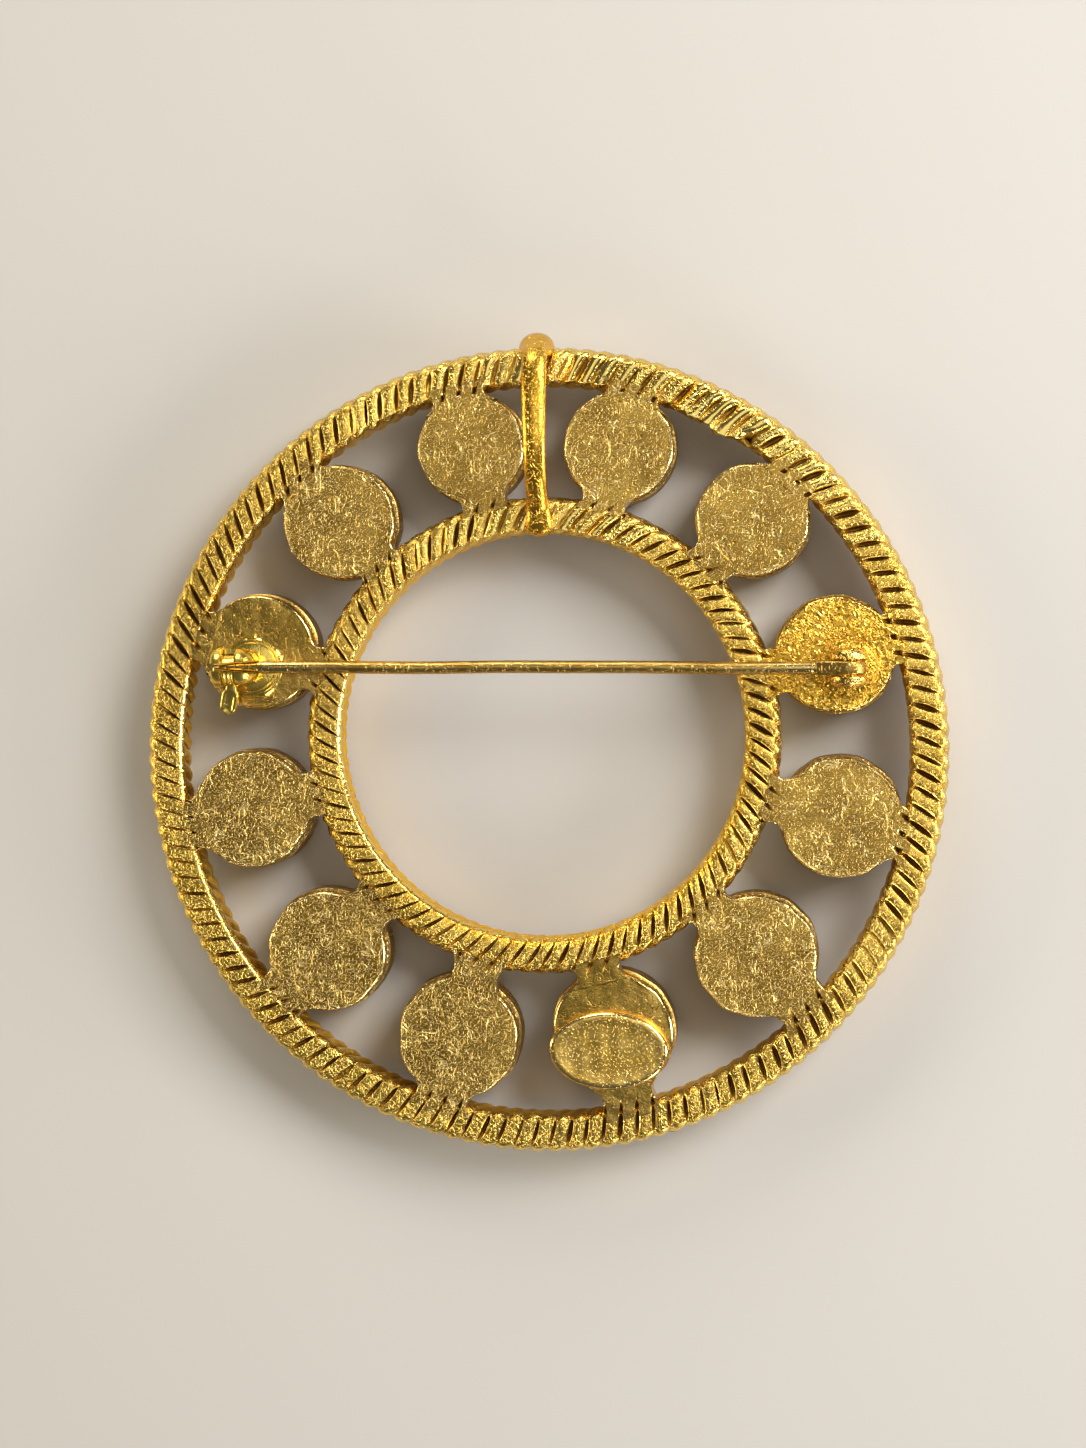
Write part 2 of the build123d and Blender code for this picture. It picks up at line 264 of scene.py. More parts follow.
# %% Sheets that become a piece
crease_degrees = 38


class Sheets:
    """Collects sheets of points, in millimetres, that become one mesh."""

    def __init__(self):
        self.points = []
        self.faces = []
        self.masks = {}
        self.count = 0

    def add(self, points, round_rows=False, round_columns=False, shift=0, flip=False, **masks):
        rows, columns = points.shape[:2]
        faces = sheet_faces(rows, columns, round_rows, round_columns, shift, self.count)
        self.faces.append(faces[:, ::-1] if flip else faces)
        self.points.append(points.reshape(-1, 3))
        for name, mask in {"groove": 0.0, "worn": 0.0, **masks}.items():
            self.masks.setdefault(name, []).append(np.broadcast_to(mask, (rows, columns)).reshape(-1))
        self.count += rows * columns

    def piece(self, name, material, body="brooch", nodes=("frame",), slot="cast_gold"):
        mesh = bpy.data.meshes.new(name)
        points = np.concatenate(self.points) * mm
        mesh.from_pydata(points.tolist(), [], np.concatenate(self.faces).tolist())
        for mask, parts in self.masks.items():
            layer = mesh.attributes.new(mask, "FLOAT", "POINT")
            layer.data.foreach_set("value", np.concatenate(parts).astype(np.float32))
        mesh.validate()
        mesh.shade_smooth()
        mesh.set_sharp_from_angle(angle=math.radians(crease_degrees))
        made = bpy.data.objects.new(name, mesh)
        made.data.materials.append(material)
        scene.collection.objects.link(made)
        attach(made, body)
        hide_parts(*nodes)
        print(name, len(mesh.polygons), "faces")


# %% [markdown]
# ## Gold, and what years of wear do to it
# Gold has no coat of paint: its look is its colour, how smooth it is, and small marks. We make four
# effects as node groups, so that each kind of gold can use them in its own strength. Fine curved
# scratches come from a strongly distorted noise, of which we keep only the narrow lines where it
# crosses its middle. Strokes are short bent marks of the file, one in each cell of a pattern. Specks
# are the small dents of a cast skin. Tone mixes a body colour with a brown for the grooves, which is
# partly patina where polish and dirt stay behind and partly painted shade, and which also paints
# shade on the cups' walls; with a saturated amber painted on the ropes' inside walls as a painted
# reflection; and with a paler gold for the worn edges.

# %% Node helpers
def node(tree, kind, place, inputs=None, **settings):
    """A node at a place in its tree. An input is a constant, or a socket that gets linked."""
    made = tree.nodes.new(kind)
    made.location = place
    for name, value in settings.items():
        setattr(made, name, value)
    for key, value in (inputs or {}).items():
        if isinstance(value, bpy.types.NodeSocket):
            tree.links.new(value, made.inputs[key])
        else:
            made.inputs[key].default_value = value
    return made


def math_node(tree, operation, place, *values, **settings):
    """The result of a Math node whose inputs are numbers or sockets."""
    settings["operation"] = operation
    return node(tree, "ShaderNodeMath", place, dict(enumerate(values)), **settings).outputs[0]


def mark(calc, place, off, half):
    """A mark's strength: 1 on its middle, and down to 0 where its half width ends."""
    share = calc("DIVIDE", place, off, half)
    return calc("SUBTRACT", (place[0] + 150, place[1]), 1.0, share, use_clamp=True)


def new_group(name, inputs, outputs):
    """An empty node group: its tree, its given sockets, the place on the object, and makers of its
    nodes and sums."""
    tree = bpy.data.node_groups.new(name, "ShaderNodeTree")
    for label, kind, value in inputs:
        tree.interface.new_socket(label, in_out="INPUT", socket_type=kind).default_value = value
    for label, kind in outputs:
        tree.interface.new_socket(label, in_out="OUTPUT", socket_type=kind)
    given = node(tree, "NodeGroupInput", (-900, 0)).outputs
    spot = node(tree, "ShaderNodeTexCoord", (-900, 300)).outputs["Object"]
    return tree, given, spot, partial(node, tree), partial(math_node, tree)


def close_group(tree, results):
    """Leads the results out of a group."""
    node(tree, "NodeGroupOutput", (700, 0), results)
    print(tree.name, len(tree.nodes), "nodes")


number = "NodeSocketFloat"
tint = "NodeSocketColor"

# %% Scratches: thin curved lines
scratch_group, given, spot, add, calc = new_group(
    "curved_scratches",
    [("Per Metre", number, 1500.0), ("Curl", number, 2.0), ("Width", number, 0.05)],
    [("Lines", number)],
)
lines = []
for i, stretch in enumerate(((1.0, 0.45, 1.0), (0.45, 1.0, 1.0))):
    top = 300 - 300 * i
    turn = add("ShaderNodeMapping", (-700, top), {
        "Rotation": (0, 0, 0.6 + 1.1 * i), "Scale": stretch, "Vector": spot,
    })
    noise = add("ShaderNodeTexNoise", (-500, top), {
        "Detail": 1.0, "Vector": turn.outputs["Vector"], "Scale": given["Per Metre"],
        "Distortion": given["Curl"],
    })
    off = calc("SUBTRACT", (-300, top), noise.outputs[0], 0.5)
    lines.append(mark(calc, (0, top), calc("ABSOLUTE", (-150, top), off), given["Width"]))
both = calc("MAXIMUM", (350, 150), *lines)
breaks = add("ShaderNodeTexNoise", (-500, -400), {
    "Detail": 0.0, "Vector": spot, "Scale": given["Per Metre"],
})
present = add("ShaderNodeMapRange", (0, -400), {
    "From Min": 0.42, "From Max": 0.54, "Value": breaks.outputs[0],
})
close_group(scratch_group, {"Lines": calc("MULTIPLY", (500, 0), both, present.outputs[0])})

# %% Strokes: one short bent mark in each cell of a pattern
stroke_group, given, spot, add, calc = new_group(
    "short_strokes",
    [("Per Metre", number, 2600.0), ("Length", number, 0.4), ("Width", number, 0.1)],
    [("Strokes", number)],
)
layers = []
for i in range(2):
    top = 300 - 500 * i
    moved = add("ShaderNodeMapping", (-1300, top), {
        "Location": (0.0131 * i, 0.0077 * i, 0.0043 * i), "Scale": (1.0, 1.0, 0.3), "Vector": spot,
    }).outputs["Vector"]
    cells = add("ShaderNodeTexVoronoi", (-1100, top), {"Vector": moved, "Scale": given["Per Metre"]})
    apart = add("ShaderNodeVectorMath", (-900, top), {
        0: moved, 1: cells.outputs["Position"],
    }, operation="SUBTRACT")
    grown = add("ShaderNodeVectorMath", (-750, top), {
        0: apart.outputs[0], "Scale": given["Per Metre"],
    }, operation="SCALE")
    chance = add("ShaderNodeSeparateColor", (-900, top - 250), {0: cells.outputs["Color"]}).outputs
    angle = calc("MULTIPLY", (-750, top - 250), chance[0], 2 * math.pi)
    turned_spot = add("ShaderNodeVectorRotate", (-600, top), {
        "Vector": grown.outputs[0], "Angle": angle,
    }, rotation_type="Z_AXIS")
    aside, along, _ = add("ShaderNodeSeparateXYZ", (-450, top), {0: turned_spot.outputs[0]}).outputs
    squared = calc("MULTIPLY", (-300, top - 100), along, along)
    bend = calc("MULTIPLY_ADD", (-450, top - 250), chance[1], 2.0, -1.0)
    bowed = calc("MULTIPLY_ADD", (-150, top), squared, bend, aside)
    line = mark(calc, (150, top), calc("ABSOLUTE", (0, top), bowed), given["Width"])
    reach = calc("ABSOLUTE", (0, top - 150), along)
    left_over = calc("SUBTRACT", (150, top - 150), given["Length"], reach)
    ends = calc("MULTIPLY", (300, top - 150), left_over, 8.0, use_clamp=True)
    layers.append(calc("MULTIPLY", (450, top), line, ends))
close_group(stroke_group, {"Strokes": calc("MAXIMUM", (600, 0), *layers)})

# %% Specks: small round dents, here and there
speck_group, given, spot, add, calc = new_group(
    "specks",
    [("Per Metre", number, 1200.0), ("Share", number, 0.4), ("Size", number, 0.22)],
    [("Dots", number)],
)
cells = add("ShaderNodeTexVoronoi", (-600, 200), {"Vector": spot, "Scale": given["Per Metre"]})
dot = mark(calc, (-300, 200), cells.outputs["Distance"], given["Size"])
chance = add("ShaderNodeSeparateColor", (-300, -100), {0: cells.outputs["Color"]}).outputs[0]
chosen = calc("LESS_THAN", (0, -100), chance, given["Share"])
close_group(speck_group, {"Dots": calc("MULTIPLY", (300, 100), dot, chosen)})

# %% Tone: body colour, brown of patina and painted shade, painted amber wall reflection and pale worn edges
tone_group, given, spot, add, calc = new_group(
    "gold_tone",
    [
        ("Body", tint, (0.8, 0.55, 0.2, 1)),
        ("Second", tint, (0.8, 0.45, 0.1, 1)),
        ("Patina And Shade Brown", tint, (0.2, 0.08, 0.01, 1)),
        ("Edge", tint, (1.0, 0.8, 0.4, 1)),
        ("Painted Wall Reflection", tint, (0.85, 0.5, 0.06, 1)),
        ("Patches Per Metre", number, 300.0),
        ("Bright Marks", number, 0.0),
        ("Dark Marks", number, 0.0),
    ],
    [("Color", tint), ("Patina And Shade Mask", number), ("Worn", number)],
)
patches = add("ShaderNodeTexNoise", (-700, 300), {
    "Detail": 4.0, "Vector": spot, "Scale": given["Patches Per Metre"],
})
wide = add("ShaderNodeMapRange", (-500, 300), {
    "From Min": 0.35, "From Max": 0.65, "Value": patches.outputs[0],
})
# Three masks from the mesh: patina with painted shade, wear, and where the amber wall reflection is
# painted
groove, worn, wall = (
    add("ShaderNodeAttribute", (-700, -100 - 200 * i), attribute_name=name).outputs["Fac"]
    for i, name in enumerate(("groove", "worn", "wall"))
)
mixed = given["Body"]
# Over the body colour: a random second tone, dark dents, pale scratches, the painted amber wall
# reflection, pale worn edges, and last the brown of patina and painted shade
steps = (
    ("Second", wide.outputs[0]),
    ("Patina And Shade Brown", given["Dark Marks"]),
    ("Edge", given["Bright Marks"]),
    ("Painted Wall Reflection", wall),
    ("Edge", worn),
    ("Patina And Shade Brown", groove),
)
# A Mix node's colour inputs are its 6 and 7, and its colour output is 2
for i, (label, share) in enumerate(steps):
    mixed = add("ShaderNodeMix", (-300 + 160 * i, 200), {
        0: share, 6: mixed, 7: given[label],
    }, data_type="RGBA").outputs[2]
close_group(tone_group, {"Color": mixed, "Patina And Shade Mask": groove, "Worn": worn})

# %% [markdown]
# ## The kinds of gold
# The same metal looks different wherever the maker's hand was different. The cup backs were rubbed
# flat and are matt and scratched, and their walls get painted shade. The ropes were only filed on
# their backs, so their lands are worn and their grooves brown, with patina and painted shade. The
# bail and findings were drawn and polished, and the pin wire, which is handled most, is duller. Each
# material below is the four groups with other numbers.

# %% A gold's nodes
mark_height = 0.03
wear_flattens = -0.8
groove_dulls = 0.2
wear_polishes = -0.16
# The first brown is patina in hollows and dents and also painted shade in the slots and on the cups'
# walls; the amber is a painted reflection on the ropes' inside walls
patina_and_shade_brown = (0.20, 0.095, 0.012)
painted_wall_reflection = (0.98, 0.59, 0.035)


def gold(name, roughness, body, second, edge, *marks, patches=300.0):
    """A gold: its roughness and colours, then for strokes, scratches and specks each group's three
    values, its height in the bump and how much it shows as colour."""
    made = bpy.data.materials.new(name)
    made.use_nodes = True
    tree = made.node_tree
    add, calc = partial(node, tree), partial(math_node, tree)
    shader = tree.nodes["Principled BSDF"]
    shader.inputs["Metallic"].default_value = 1.0

    heights, shown = [], []
    for i, (group, values) in enumerate(zip((stroke_group, scratch_group, speck_group), marks)):
        top = 200 - 250 * i
        drawn = add("ShaderNodeGroup", (-1300, top), dict(enumerate(values[:3])), node_tree=group)
        heights.append(calc("MULTIPLY", (-1100, top), drawn.outputs[0], values[3]))
        shown.append(calc("MULTIPLY", (-1100, top - 100), drawn.outputs[0], values[4]))
    tone = add("ShaderNodeGroup", (-700, 300), node_tree=tone_group)
    for socket, value in zip(tone.inputs, (body, second, patina_and_shade_brown, edge, painted_wall_reflection)):
        socket.default_value = (*value, 1)
    tone.inputs["Patches Per Metre"].default_value = patches
    tree.links.new(calc("ADD", (-900, 200), *shown[:2]), tone.inputs["Bright Marks"])
    tree.links.new(shown[2], tone.inputs["Dark Marks"])
    groove, worn = tone.outputs["Patina And Shade Mask"], tone.outputs["Worn"]

    height = calc("ADD", (-900, -100), *heights[:2])
    height = calc("ADD", (-750, -100), height, heights[2])
    kept = calc("MULTIPLY_ADD", (-500, 50), worn, wear_flattens, 1.0)
    height = calc("MULTIPLY", (-350, -100), height, kept)
    bump = add("ShaderNodeBump", (-150, -100), {"Distance": mark_height * mm, "Height": height})
    dulled = calc("MULTIPLY_ADD", (-300, 150), groove, groove_dulls, roughness)
    rough = calc("MULTIPLY_ADD", (-150, 150), worn, wear_polishes, dulled)
    tree.links.new(bump.outputs["Normal"], shader.inputs["Normal"])
    tree.links.new(tone.outputs["Color"], shader.inputs["Base Color"])
    tree.links.new(rough, shader.inputs["Roughness"])
    return made


print("patina_and_shade_brown", patina_and_shade_brown, "painted_wall_reflection", painted_wall_reflection)

# %% Eight kinds of gold
back_gold = gold(
    "scratched_back_gold", 0.35, (0.58, 0.36, 0.062), (0.36, 0.205, 0.028), (1.0, 0.80, 0.34),
    (3900, 0.50, 0.10, 3.2, 0.90), (1100, 0.8, 0.022, -1.4, 0.6), (2600, 0.30, 0.30, -1.8, 0.7),
)
cast_gold = gold(
    "rough_cast_gold", 0.28, (0.76, 0.46, 0.065), (0.56, 0.31, 0.03), (1.0, 0.70, 0.20),
    (1900, 0.42, 0.16, 1.2, 0.2), (2200, 2.5, 0.14, -1.2, 0.0), (2300, 0.60, 0.42, -1.8, 0.25),
)
smooth_gold = gold(
    "smooth_back_gold", 0.27, (0.78, 0.52, 0.13), (0.54, 0.35, 0.07), (1.0, 0.74, 0.28),
    (2600, 0.35, 0.08, 0.3, 0.15), (1500, 0.8, 0.03, -0.3, 0.1), (1400, 0.22, 0.20, 1.0, 0.0),
    patches=180.0,
)
rope_gold = gold(
    "filed_rope_gold", 0.34, (0.80, 0.52, 0.10), (0.58, 0.35, 0.045), (1.0, 0.73, 0.20),
    (3400, 0.45, 0.10, 1.0, 0.55), (1800, 0.8, 0.03, -0.6, 0.3), (2400, 0.22, 0.26, -0.8, 0.4),
)
polished_gold = gold(
    "polished_gold", 0.27, (0.82, 0.48, 0.065), (0.70, 0.39, 0.04), (1.0, 0.72, 0.25),
    (2600, 0.45, 0.08, 0.8, 0.15), (900, 0.6, 0.03, -0.25, 0.1), (1300, 0.15, 0.22, -0.4, 0.2),
)
catch_gold = gold(
    "polished_catch_gold", 0.24, (0.92, 0.68, 0.16), (0.84, 0.60, 0.11), (1.0, 0.82, 0.36),
    (1500, 0.40, 0.06, 0.1, 0.05), (900, 0.6, 0.03, -0.2, 0.1), (1300, 0.15, 0.22, -0.3, 0.2),
)
plate_gold = gold(
    "oval_plate_gold", 0.30, (0.94, 0.64, 0.17), (0.80, 0.50, 0.09), (1.0, 0.76, 0.30),
    (3000, 0.30, 0.06, 0.4, 0.25), (900, 0.4, 0.008, -0.2, 0.1), (1500, 0.15, 0.18, -0.4, 0.2),
    patches=700.0,
)
wire_gold = gold(
    "worn_wire_gold", 0.30, (0.56, 0.37, 0.10), (0.42, 0.26, 0.055), (0.94, 0.70, 0.27),
    (2200, 0.40, 0.06, 0.4, 0.20), (1500, 0.4, 0.03, -0.3, 0.1), (1400, 0.15, 0.2, -0.5, 0.3),
)
print("golds", [m.name for m in bpy.data.materials])

# %% [markdown]
# ## The two rings of twisted rope
# A rope ring is a bundle of strands that wind round and round as they go along the ring. We follow
# the strands themselves: every row of points runs along one strand's crest, its shoulder or the
# groove beside it, from the inside of the ring over its back to the outside and underneath. That
# way a groove's edge is always an edge of the mesh, and stays crisp. On the back, where the maker
# filed the rope flat, the strands become flat lands, and the grooves become lens-shaped slots.

# %% A rope's section
# Columns: share of the width from the inside, share of the depth from the back down, how flat the
# strand is filed (1 on the back), depth of the slot between strands, half width of the slot as a
# share of a strand's pitch
rope_section = [
    (0.015, 0.66, 0.0, 0.30, 0.08),
    (0.00, 0.52, 0.0, 0.30, 0.08),
    (0.00, 0.36, 0.0, 0.30, 0.08),
    (0.00, 0.24, 0.0, 0.26, 0.07),
    (0.005, 0.145, 0.7, 0.06, 0.04),
    (0.020, 0.085, 1.0, 0.01, 0.03),
    (0.100, 0.008, 1.0, 0.01, 0.03),
    (0.130, 0.00, 1.0, 0.10, 0.06),
    (0.18, 0.00, 1.0, 0.30, 0.11),
    (0.27, 0.00, 1.0, 0.40, 0.15),
    (0.38, 0.00, 1.0, 0.43, 0.17),
    (0.50, 0.00, 1.0, 0.43, 0.17),
    (0.60, 0.00, 1.0, 0.38, 0.15),
    (0.68, 0.00, 1.0, 0.28, 0.11),
    (0.745, 0.005, 0.9, 0.14, 0.06),
    (0.80, 0.015, 0.7, 0.08, 0.04),
    (0.86, 0.04, 0.4, 0.08, 0.04),
    (0.92, 0.09, 0.15, 0.10, 0.05),
    (0.965, 0.16, 0.0, 0.12, 0.05),
    (0.99, 0.25, 0.0, 0.14, 0.05),
    (0.999, 0.38, 0.0, 0.14, 0.05),
    (0.99, 0.55, 0.0, 0.12, 0.05),
    (0.95, 0.72, 0.0, 0.12, 0.05),
    (0.87, 0.87, 0.0, 0.12, 0.05),
    (0.73, 0.96, 0.0, 0.12, 0.05),
    (0.55, 1.00, 0.0, 0.12, 0.05),
    (0.36, 0.99, 0.0, 0.12, 0.05),
    (0.20, 0.93, 0.0, 0.14, 0.05),
    (0.07, 0.81, 0.0, 0.20, 0.05),
]
slots_begin = 7
share, below, filed, section_drop, section_half = np.array(rope_section).T
print("section", len(share), "points")

# %% A rope and its section's line
Rope = namedtuple("Rope", "inside_r width depth center strands twist moods falls lumps seed")


def section_line(ring):
    """Radii and heights along a rope's section, the share of the way round it, and its girth."""
    r = ring.inside_r + share * ring.width
    z = back_z - below * ring.depth
    steps = np.hypot(np.roll(r, -1) - r, np.roll(z, -1) - z)
    way = np.concatenate([[0], np.cumsum(steps)[:-1]]) / steps.sum()
    return r, z, way - way[slots_begin], steps.sum()


def section_inward(r, z):
    """Steps from the section's line into the rope. On the filed back they point straight down."""
    ahead = np.stack([np.roll(r, -1) - np.roll(r, 1), np.roll(z, -1) - np.roll(z, 1)])
    ahead /= np.hypot(*ahead)
    inward = np.stack([ahead[1], -ahead[0]])
    inward[:, below < 0.006] = [[0], [-1]]
    return inward


def moods_at(ring, clock):
    """A rope's moods at clock angles, one for each column of its table."""
    marks = np.array(ring.moods).T
    return [np.interp(clock, marks[0], mark) for mark in marks[1:]]


print("a rope has", Rope._fields)

# %% The form of the strands
# A strand's own points: across its slot from wall to wall, then across its land from edge to edge
across_slot = np.array([-1.0, -0.75, -0.4, 0.0, 0.4, 0.75, 1.0])[:, None]
across_land = np.array([0.06, 0.22, 0.5, 0.78, 0.94])[:, None]
# Patina and painted shade across a strand: dark in its slot, lighter down the slot's middle as a
# painted reflection of the light above, none on its land
slot_patina_and_shade = np.array([0.25, 0.95, 1.0, 0.75, 1.0, 0.95, 0.25, 0, 0, 0, 0, 0])[:, None]
# Wear across a strand: its slot's and land's edges are worn paler, one edge more than the other as a
# painted highlight
slot_edge_wear_and_highlight = np.array([0.6, 0.1, 0, 0, 0, 0.1, 0.4, 0.2, 0, 0, 0, 0.4])[:, None]
land_crown = np.array([0, 0, 0, 0, 0, 0, 0, 0.4, 0.9, 1.0, 0.9, 0.4])[:, None]
land_edge = np.array([1, 0, 0, 0, 1])[:, None]
strand_round = 0.26
# The slot depth beyond 0.08 mm at which patina and painted shade are full
full_shade_depth = 0.28
land_wave = 0.014
size_spread = 0.22
place_spread = 0.05
lowest_land = 0.9
edge_sink = 0.035
even_edge = 0.025
crown_wear = 7
rim_wear = 0.8
# Where the back falls away: how far across and down, and its slots' half width and depth
fall_across, fall_down = 0.34, 0.5
fall_half, fall_drop = 0.05, 0.12


def strand_forms(ring):
    """For every point: its phase, lean, fall and flatness, how far it is sunk, and its masks."""
    rng = np.random.default_rng(ring.seed)
    strand = np.arange(ring.strands)[:, None, None]
    clock = (90 - np.degrees(2 * math.pi * strand / ring.strands)) % 360
    wide, deep, lean, rounded, even = moods_at(ring, clock)
    fall = np.interp(clock, *zip(*ring.falls))
    fall = fall * np.clip(1 - share / fall_across, 0, 1) * np.clip(1 - below / fall_down, 0, 1)
    on_fall = np.clip(5 * fall, 0, 1) * (below < 0.2)
    flat = filed * (1 - 0.8 * (1 - even) * (share < 0.125) * (below < 0.15))

    def draw(lowest, highest=1):
        return rng.uniform(lowest, highest, (ring.strands, 1, 1))

    uneven = 1 + draw(-1) * (size_spread + 1.5 * rounded) * flat
    half = section_half * (1 + (wide * uneven - 1) * flat)
    half = half * (1 - 0.6 * on_fall) + fall_half * on_fall
    drop = section_drop * (1 + (deep * uneven - 1) * flat)
    drop = drop * (1 - 0.75 * on_fall) + fall_drop * on_fall
    shift = draw(-1) * (place_spread + 0.5 * rounded) * flat
    sunken = draw(0) * lowest_land * np.clip(rounded - 0.04, 0, 1) * flat
    rounded = rounded * draw(0.5, 1.4)
    bulge = strand_round * (1 - flat) + rounded * flat

    slot_sink = bulge + drop * np.sqrt(np.clip(1 - across_slot**2, 0, 1))
    land_sink = bulge * (2 * across_land - 1) ** 2
    land_sink = land_sink + land_edge * (edge_sink - even_edge * even) * flat + sunken
    sink = np.concatenate([slot_sink, land_sink], axis=1)

    # Patina and painted shade in the slots, stronger in deeper slots
    groove = slot_patina_and_shade * np.clip((drop - 0.08) / full_shade_depth, 0, 1)
    # Worn slot edges, one side paler than the other as a painted highlight
    worn = slot_edge_wear_and_highlight * (1 - 0.6 * groove) * (0.25 + 0.75 * flat)
    worn = np.maximum(worn, crown_wear * rounded * land_crown * flat)
    outer_edge = np.exp(-((share - 0.92) / 0.07) ** 2) * (below < 0.4)
    worn = np.maximum(worn, rim_wear * outer_edge * (1 - groove))
    bevel = np.exp(-(((share - 0.06) / 0.06) ** 4)) * (below < 0.13)
    worn = np.maximum(worn, bevel * (1.3 * even + 0.6 * (1 - even) * land_crown))
    # Where a saturated amber is painted as a reflection: the inside wall and the band where the back
    # falls away
    wall = np.maximum((share < 0.02) & (below > 0.15) & (below < 0.7), on_fall)

    phase = np.concatenate([half * across_slot, half + (1 - 2 * half) * across_land], axis=1)
    return strand + phase + shift, lean, fall, flat, sink, groove, worn, wall


print("a strand has", len(slot_patina_and_shade), "points across")

# %% One ring of strands
def rope(ring):
    """Points and masks of one ring of strands, with the places where the casting is blurred."""
    r, z, way, _ = section_line(ring)
    inward = section_inward(r, z)
    phase, lean, fall, flat, sink, groove, worn, wall = strand_forms(ring)
    angle = 2 * math.pi / ring.strands * (phase - ring.twist * way)
    angle = angle - lean * (share - 0.5) * ring.width / (ring.inside_r + ring.width / 2)
    z = z - fall
    dents = round_wobble(angle, r, 0.8, ring.seed + 9)
    for place, middle, length, breadth, fill, rise, push in ring.lumps:
        off = (90 - np.degrees(angle) - place + 180) % 360 - 180
        near = np.exp(-((off / length) ** 2) - ((share - middle) / breadth) ** 2) * (below < 0.3)
        sink = sink * (1 - fill * near)
        z = z + (rise + 0.03 * fill * (dents - 1)) * near
        r = r - push * near * (1 + 0.5 * dents)
        # Filled slots lose their patina and painted shade, and a deep pit takes the full brown
        groove = np.maximum(groove * (1 - fill * near), near * (rise < -0.3))
    r = r + inward[0] * sink
    z = z + inward[1] * sink
    x = ring.center[0] + r * np.cos(angle)
    y = ring.center[1] + r * np.sin(angle)
    z = z - land_wave * flat * (1 - groove) * (1 + wobble(x, y, 1.6, ring.seed + 1))
    size = (-1, len(share))
    masks = {"groove": groove, "worn": worn, "wall": np.broadcast_to(wall, x.shape)}
    return points_at(x, y, z).reshape(*size, 3), {k: m.reshape(size) for k, m in masks.items()}


print("land wave", land_wave, "mm")

# %% [markdown]
# ## Where the ropes are worn
# No two parts of the ropes look alike. At the top the lands were cast round and are blurred, at the
# left they were filed hardest, and below, the inner rope falls away towards the middle. We write
# these moods down by the clock, with 0 at the top, and let each strand take its own from the table.

# %% The ropes' moods
# Columns: clock angle, slot width, slot depth, extra lean, roundness of the lands, how even the
# bevel along the inside edge is
outer_moods = [
    (0, 0.80, 0.5, 0.00, 0.17, 0.2),
    (12, 0.75, 0.6, 0.00, 0.19, 0.1),
    (30, 0.85, 0.7, 0.05, 0.18, 0.0),
    (50, 0.95, 0.9, 0.02, 0.09, 0.1),
    (65, 1.05, 1.0, 0.00, 0.02, 0.2),
    (100, 1.10, 1.1, 0.05, 0.015, 0.3),
    (125, 0.95, 0.8, 0.00, 0.045, 0.1),
    (150, 0.80, 0.9, -0.15, 0.055, 0.0),
    (200, 0.80, 0.9, -0.15, 0.045, 0.0),
    (225, 0.90, 0.9, 0.00, 0.02, 0.9),
    (258, 0.50, 0.6, 0.00, 0.01, 1.0),
    (272, 0.50, 0.6, 0.10, 0.01, 1.0),
    (285, 1.00, 1.0, 0.30, 0.01, 0.9),
    (300, 1.10, 1.0, 0.30, 0.01, 0.8),
    (318, 0.90, 0.9, 0.15, 0.02, 0.5),
    (335, 0.80, 0.8, 0.00, 0.07, 0.2),
    (360, 0.80, 0.5, 0.00, 0.17, 0.2),
]
inner_moods = [
    (0, 0.75, 0.7, 0.0, 0.14, 0.1),
    (22, 0.80, 0.8, 0.0, 0.10, 0.1),
    (35, 0.90, 0.9, 0.0, 0.03, 0.1),
    (70, 1.05, 1.0, 0.0, 0.02, 0.2),
    (120, 0.90, 0.9, 0.0, 0.045, 0.2),
    (180, 0.85, 0.9, 0.0, 0.045, 0.2),
    (205, 0.80, 0.9, 0.0, 0.02, 0.9),
    (240, 0.65, 0.7, 0.0, 0.01, 1.0),
    (270, 0.75, 0.8, 0.0, 0.01, 1.0),
    (300, 0.75, 0.8, 0.0, 0.02, 0.7),
    (330, 0.85, 0.8, 0.0, 0.06, 0.2),
    (360, 0.75, 0.7, 0.0, 0.14, 0.1),
]
# How far the back falls towards its inside edge. Columns: clock angle, fall in millimetres
outer_falls = [(0, 0.0)]
inner_falls = [(35, 0.0), (70, 0.05), (120, 0.36), (180, 0.40), (205, 0.25), (240, 0.0)]
print("moods", len(outer_moods), "and", len(inner_moods))

# %% The ropes' lumps
# Places where the casting is blurred. Columns: clock angle, share of the width, length in degrees,
# breadth as a share of the width, how full the slots are, rise, push towards the ring's middle
outer_lumps = [
    (8, 0.35, 2.0, 0.25, 0.4, 0.00, 0.00),
    (16, 0.78, 3.0, 0.12, 0.8, 0.00, 0.00),
    (24, 0.10, 2.2, 0.20, 0.9, -0.05, 0.24),
    (29, 0.12, 2.8, 0.28, 0.9, -0.05, 0.45),
    (33.5, 0.16, 0.9, 0.12, 0.0, -0.90, 0.00),
    (120, 0.40, 3.5, 0.30, 0.7, 0.00, 0.00),
    (211, 0.50, 1.5, 0.30, 0.6, 0.00, 0.00),
    (276, 0.70, 1.2, 0.30, 0.7, 0.00, 0.00),
    (342, 0.30, 2.0, 0.25, 0.6, 0.00, 0.00),
    (355, 0.40, 2.2, 0.45, 0.9, -0.10, 0.00),
]
inner_lumps = [
    (4, 0.50, 5.0, 0.40, 0.7, -0.03, 0.00),
    (352, 0.45, 5.0, 0.40, 0.6, -0.02, 0.00),
    (120, 0.50, 4.0, 0.35, 0.6, 0.00, 0.00),
    (205, 0.60, 3.0, 0.35, 0.7, 0.00, 0.00),
]
print("lumps", len(outer_lumps), "and", len(inner_lumps))

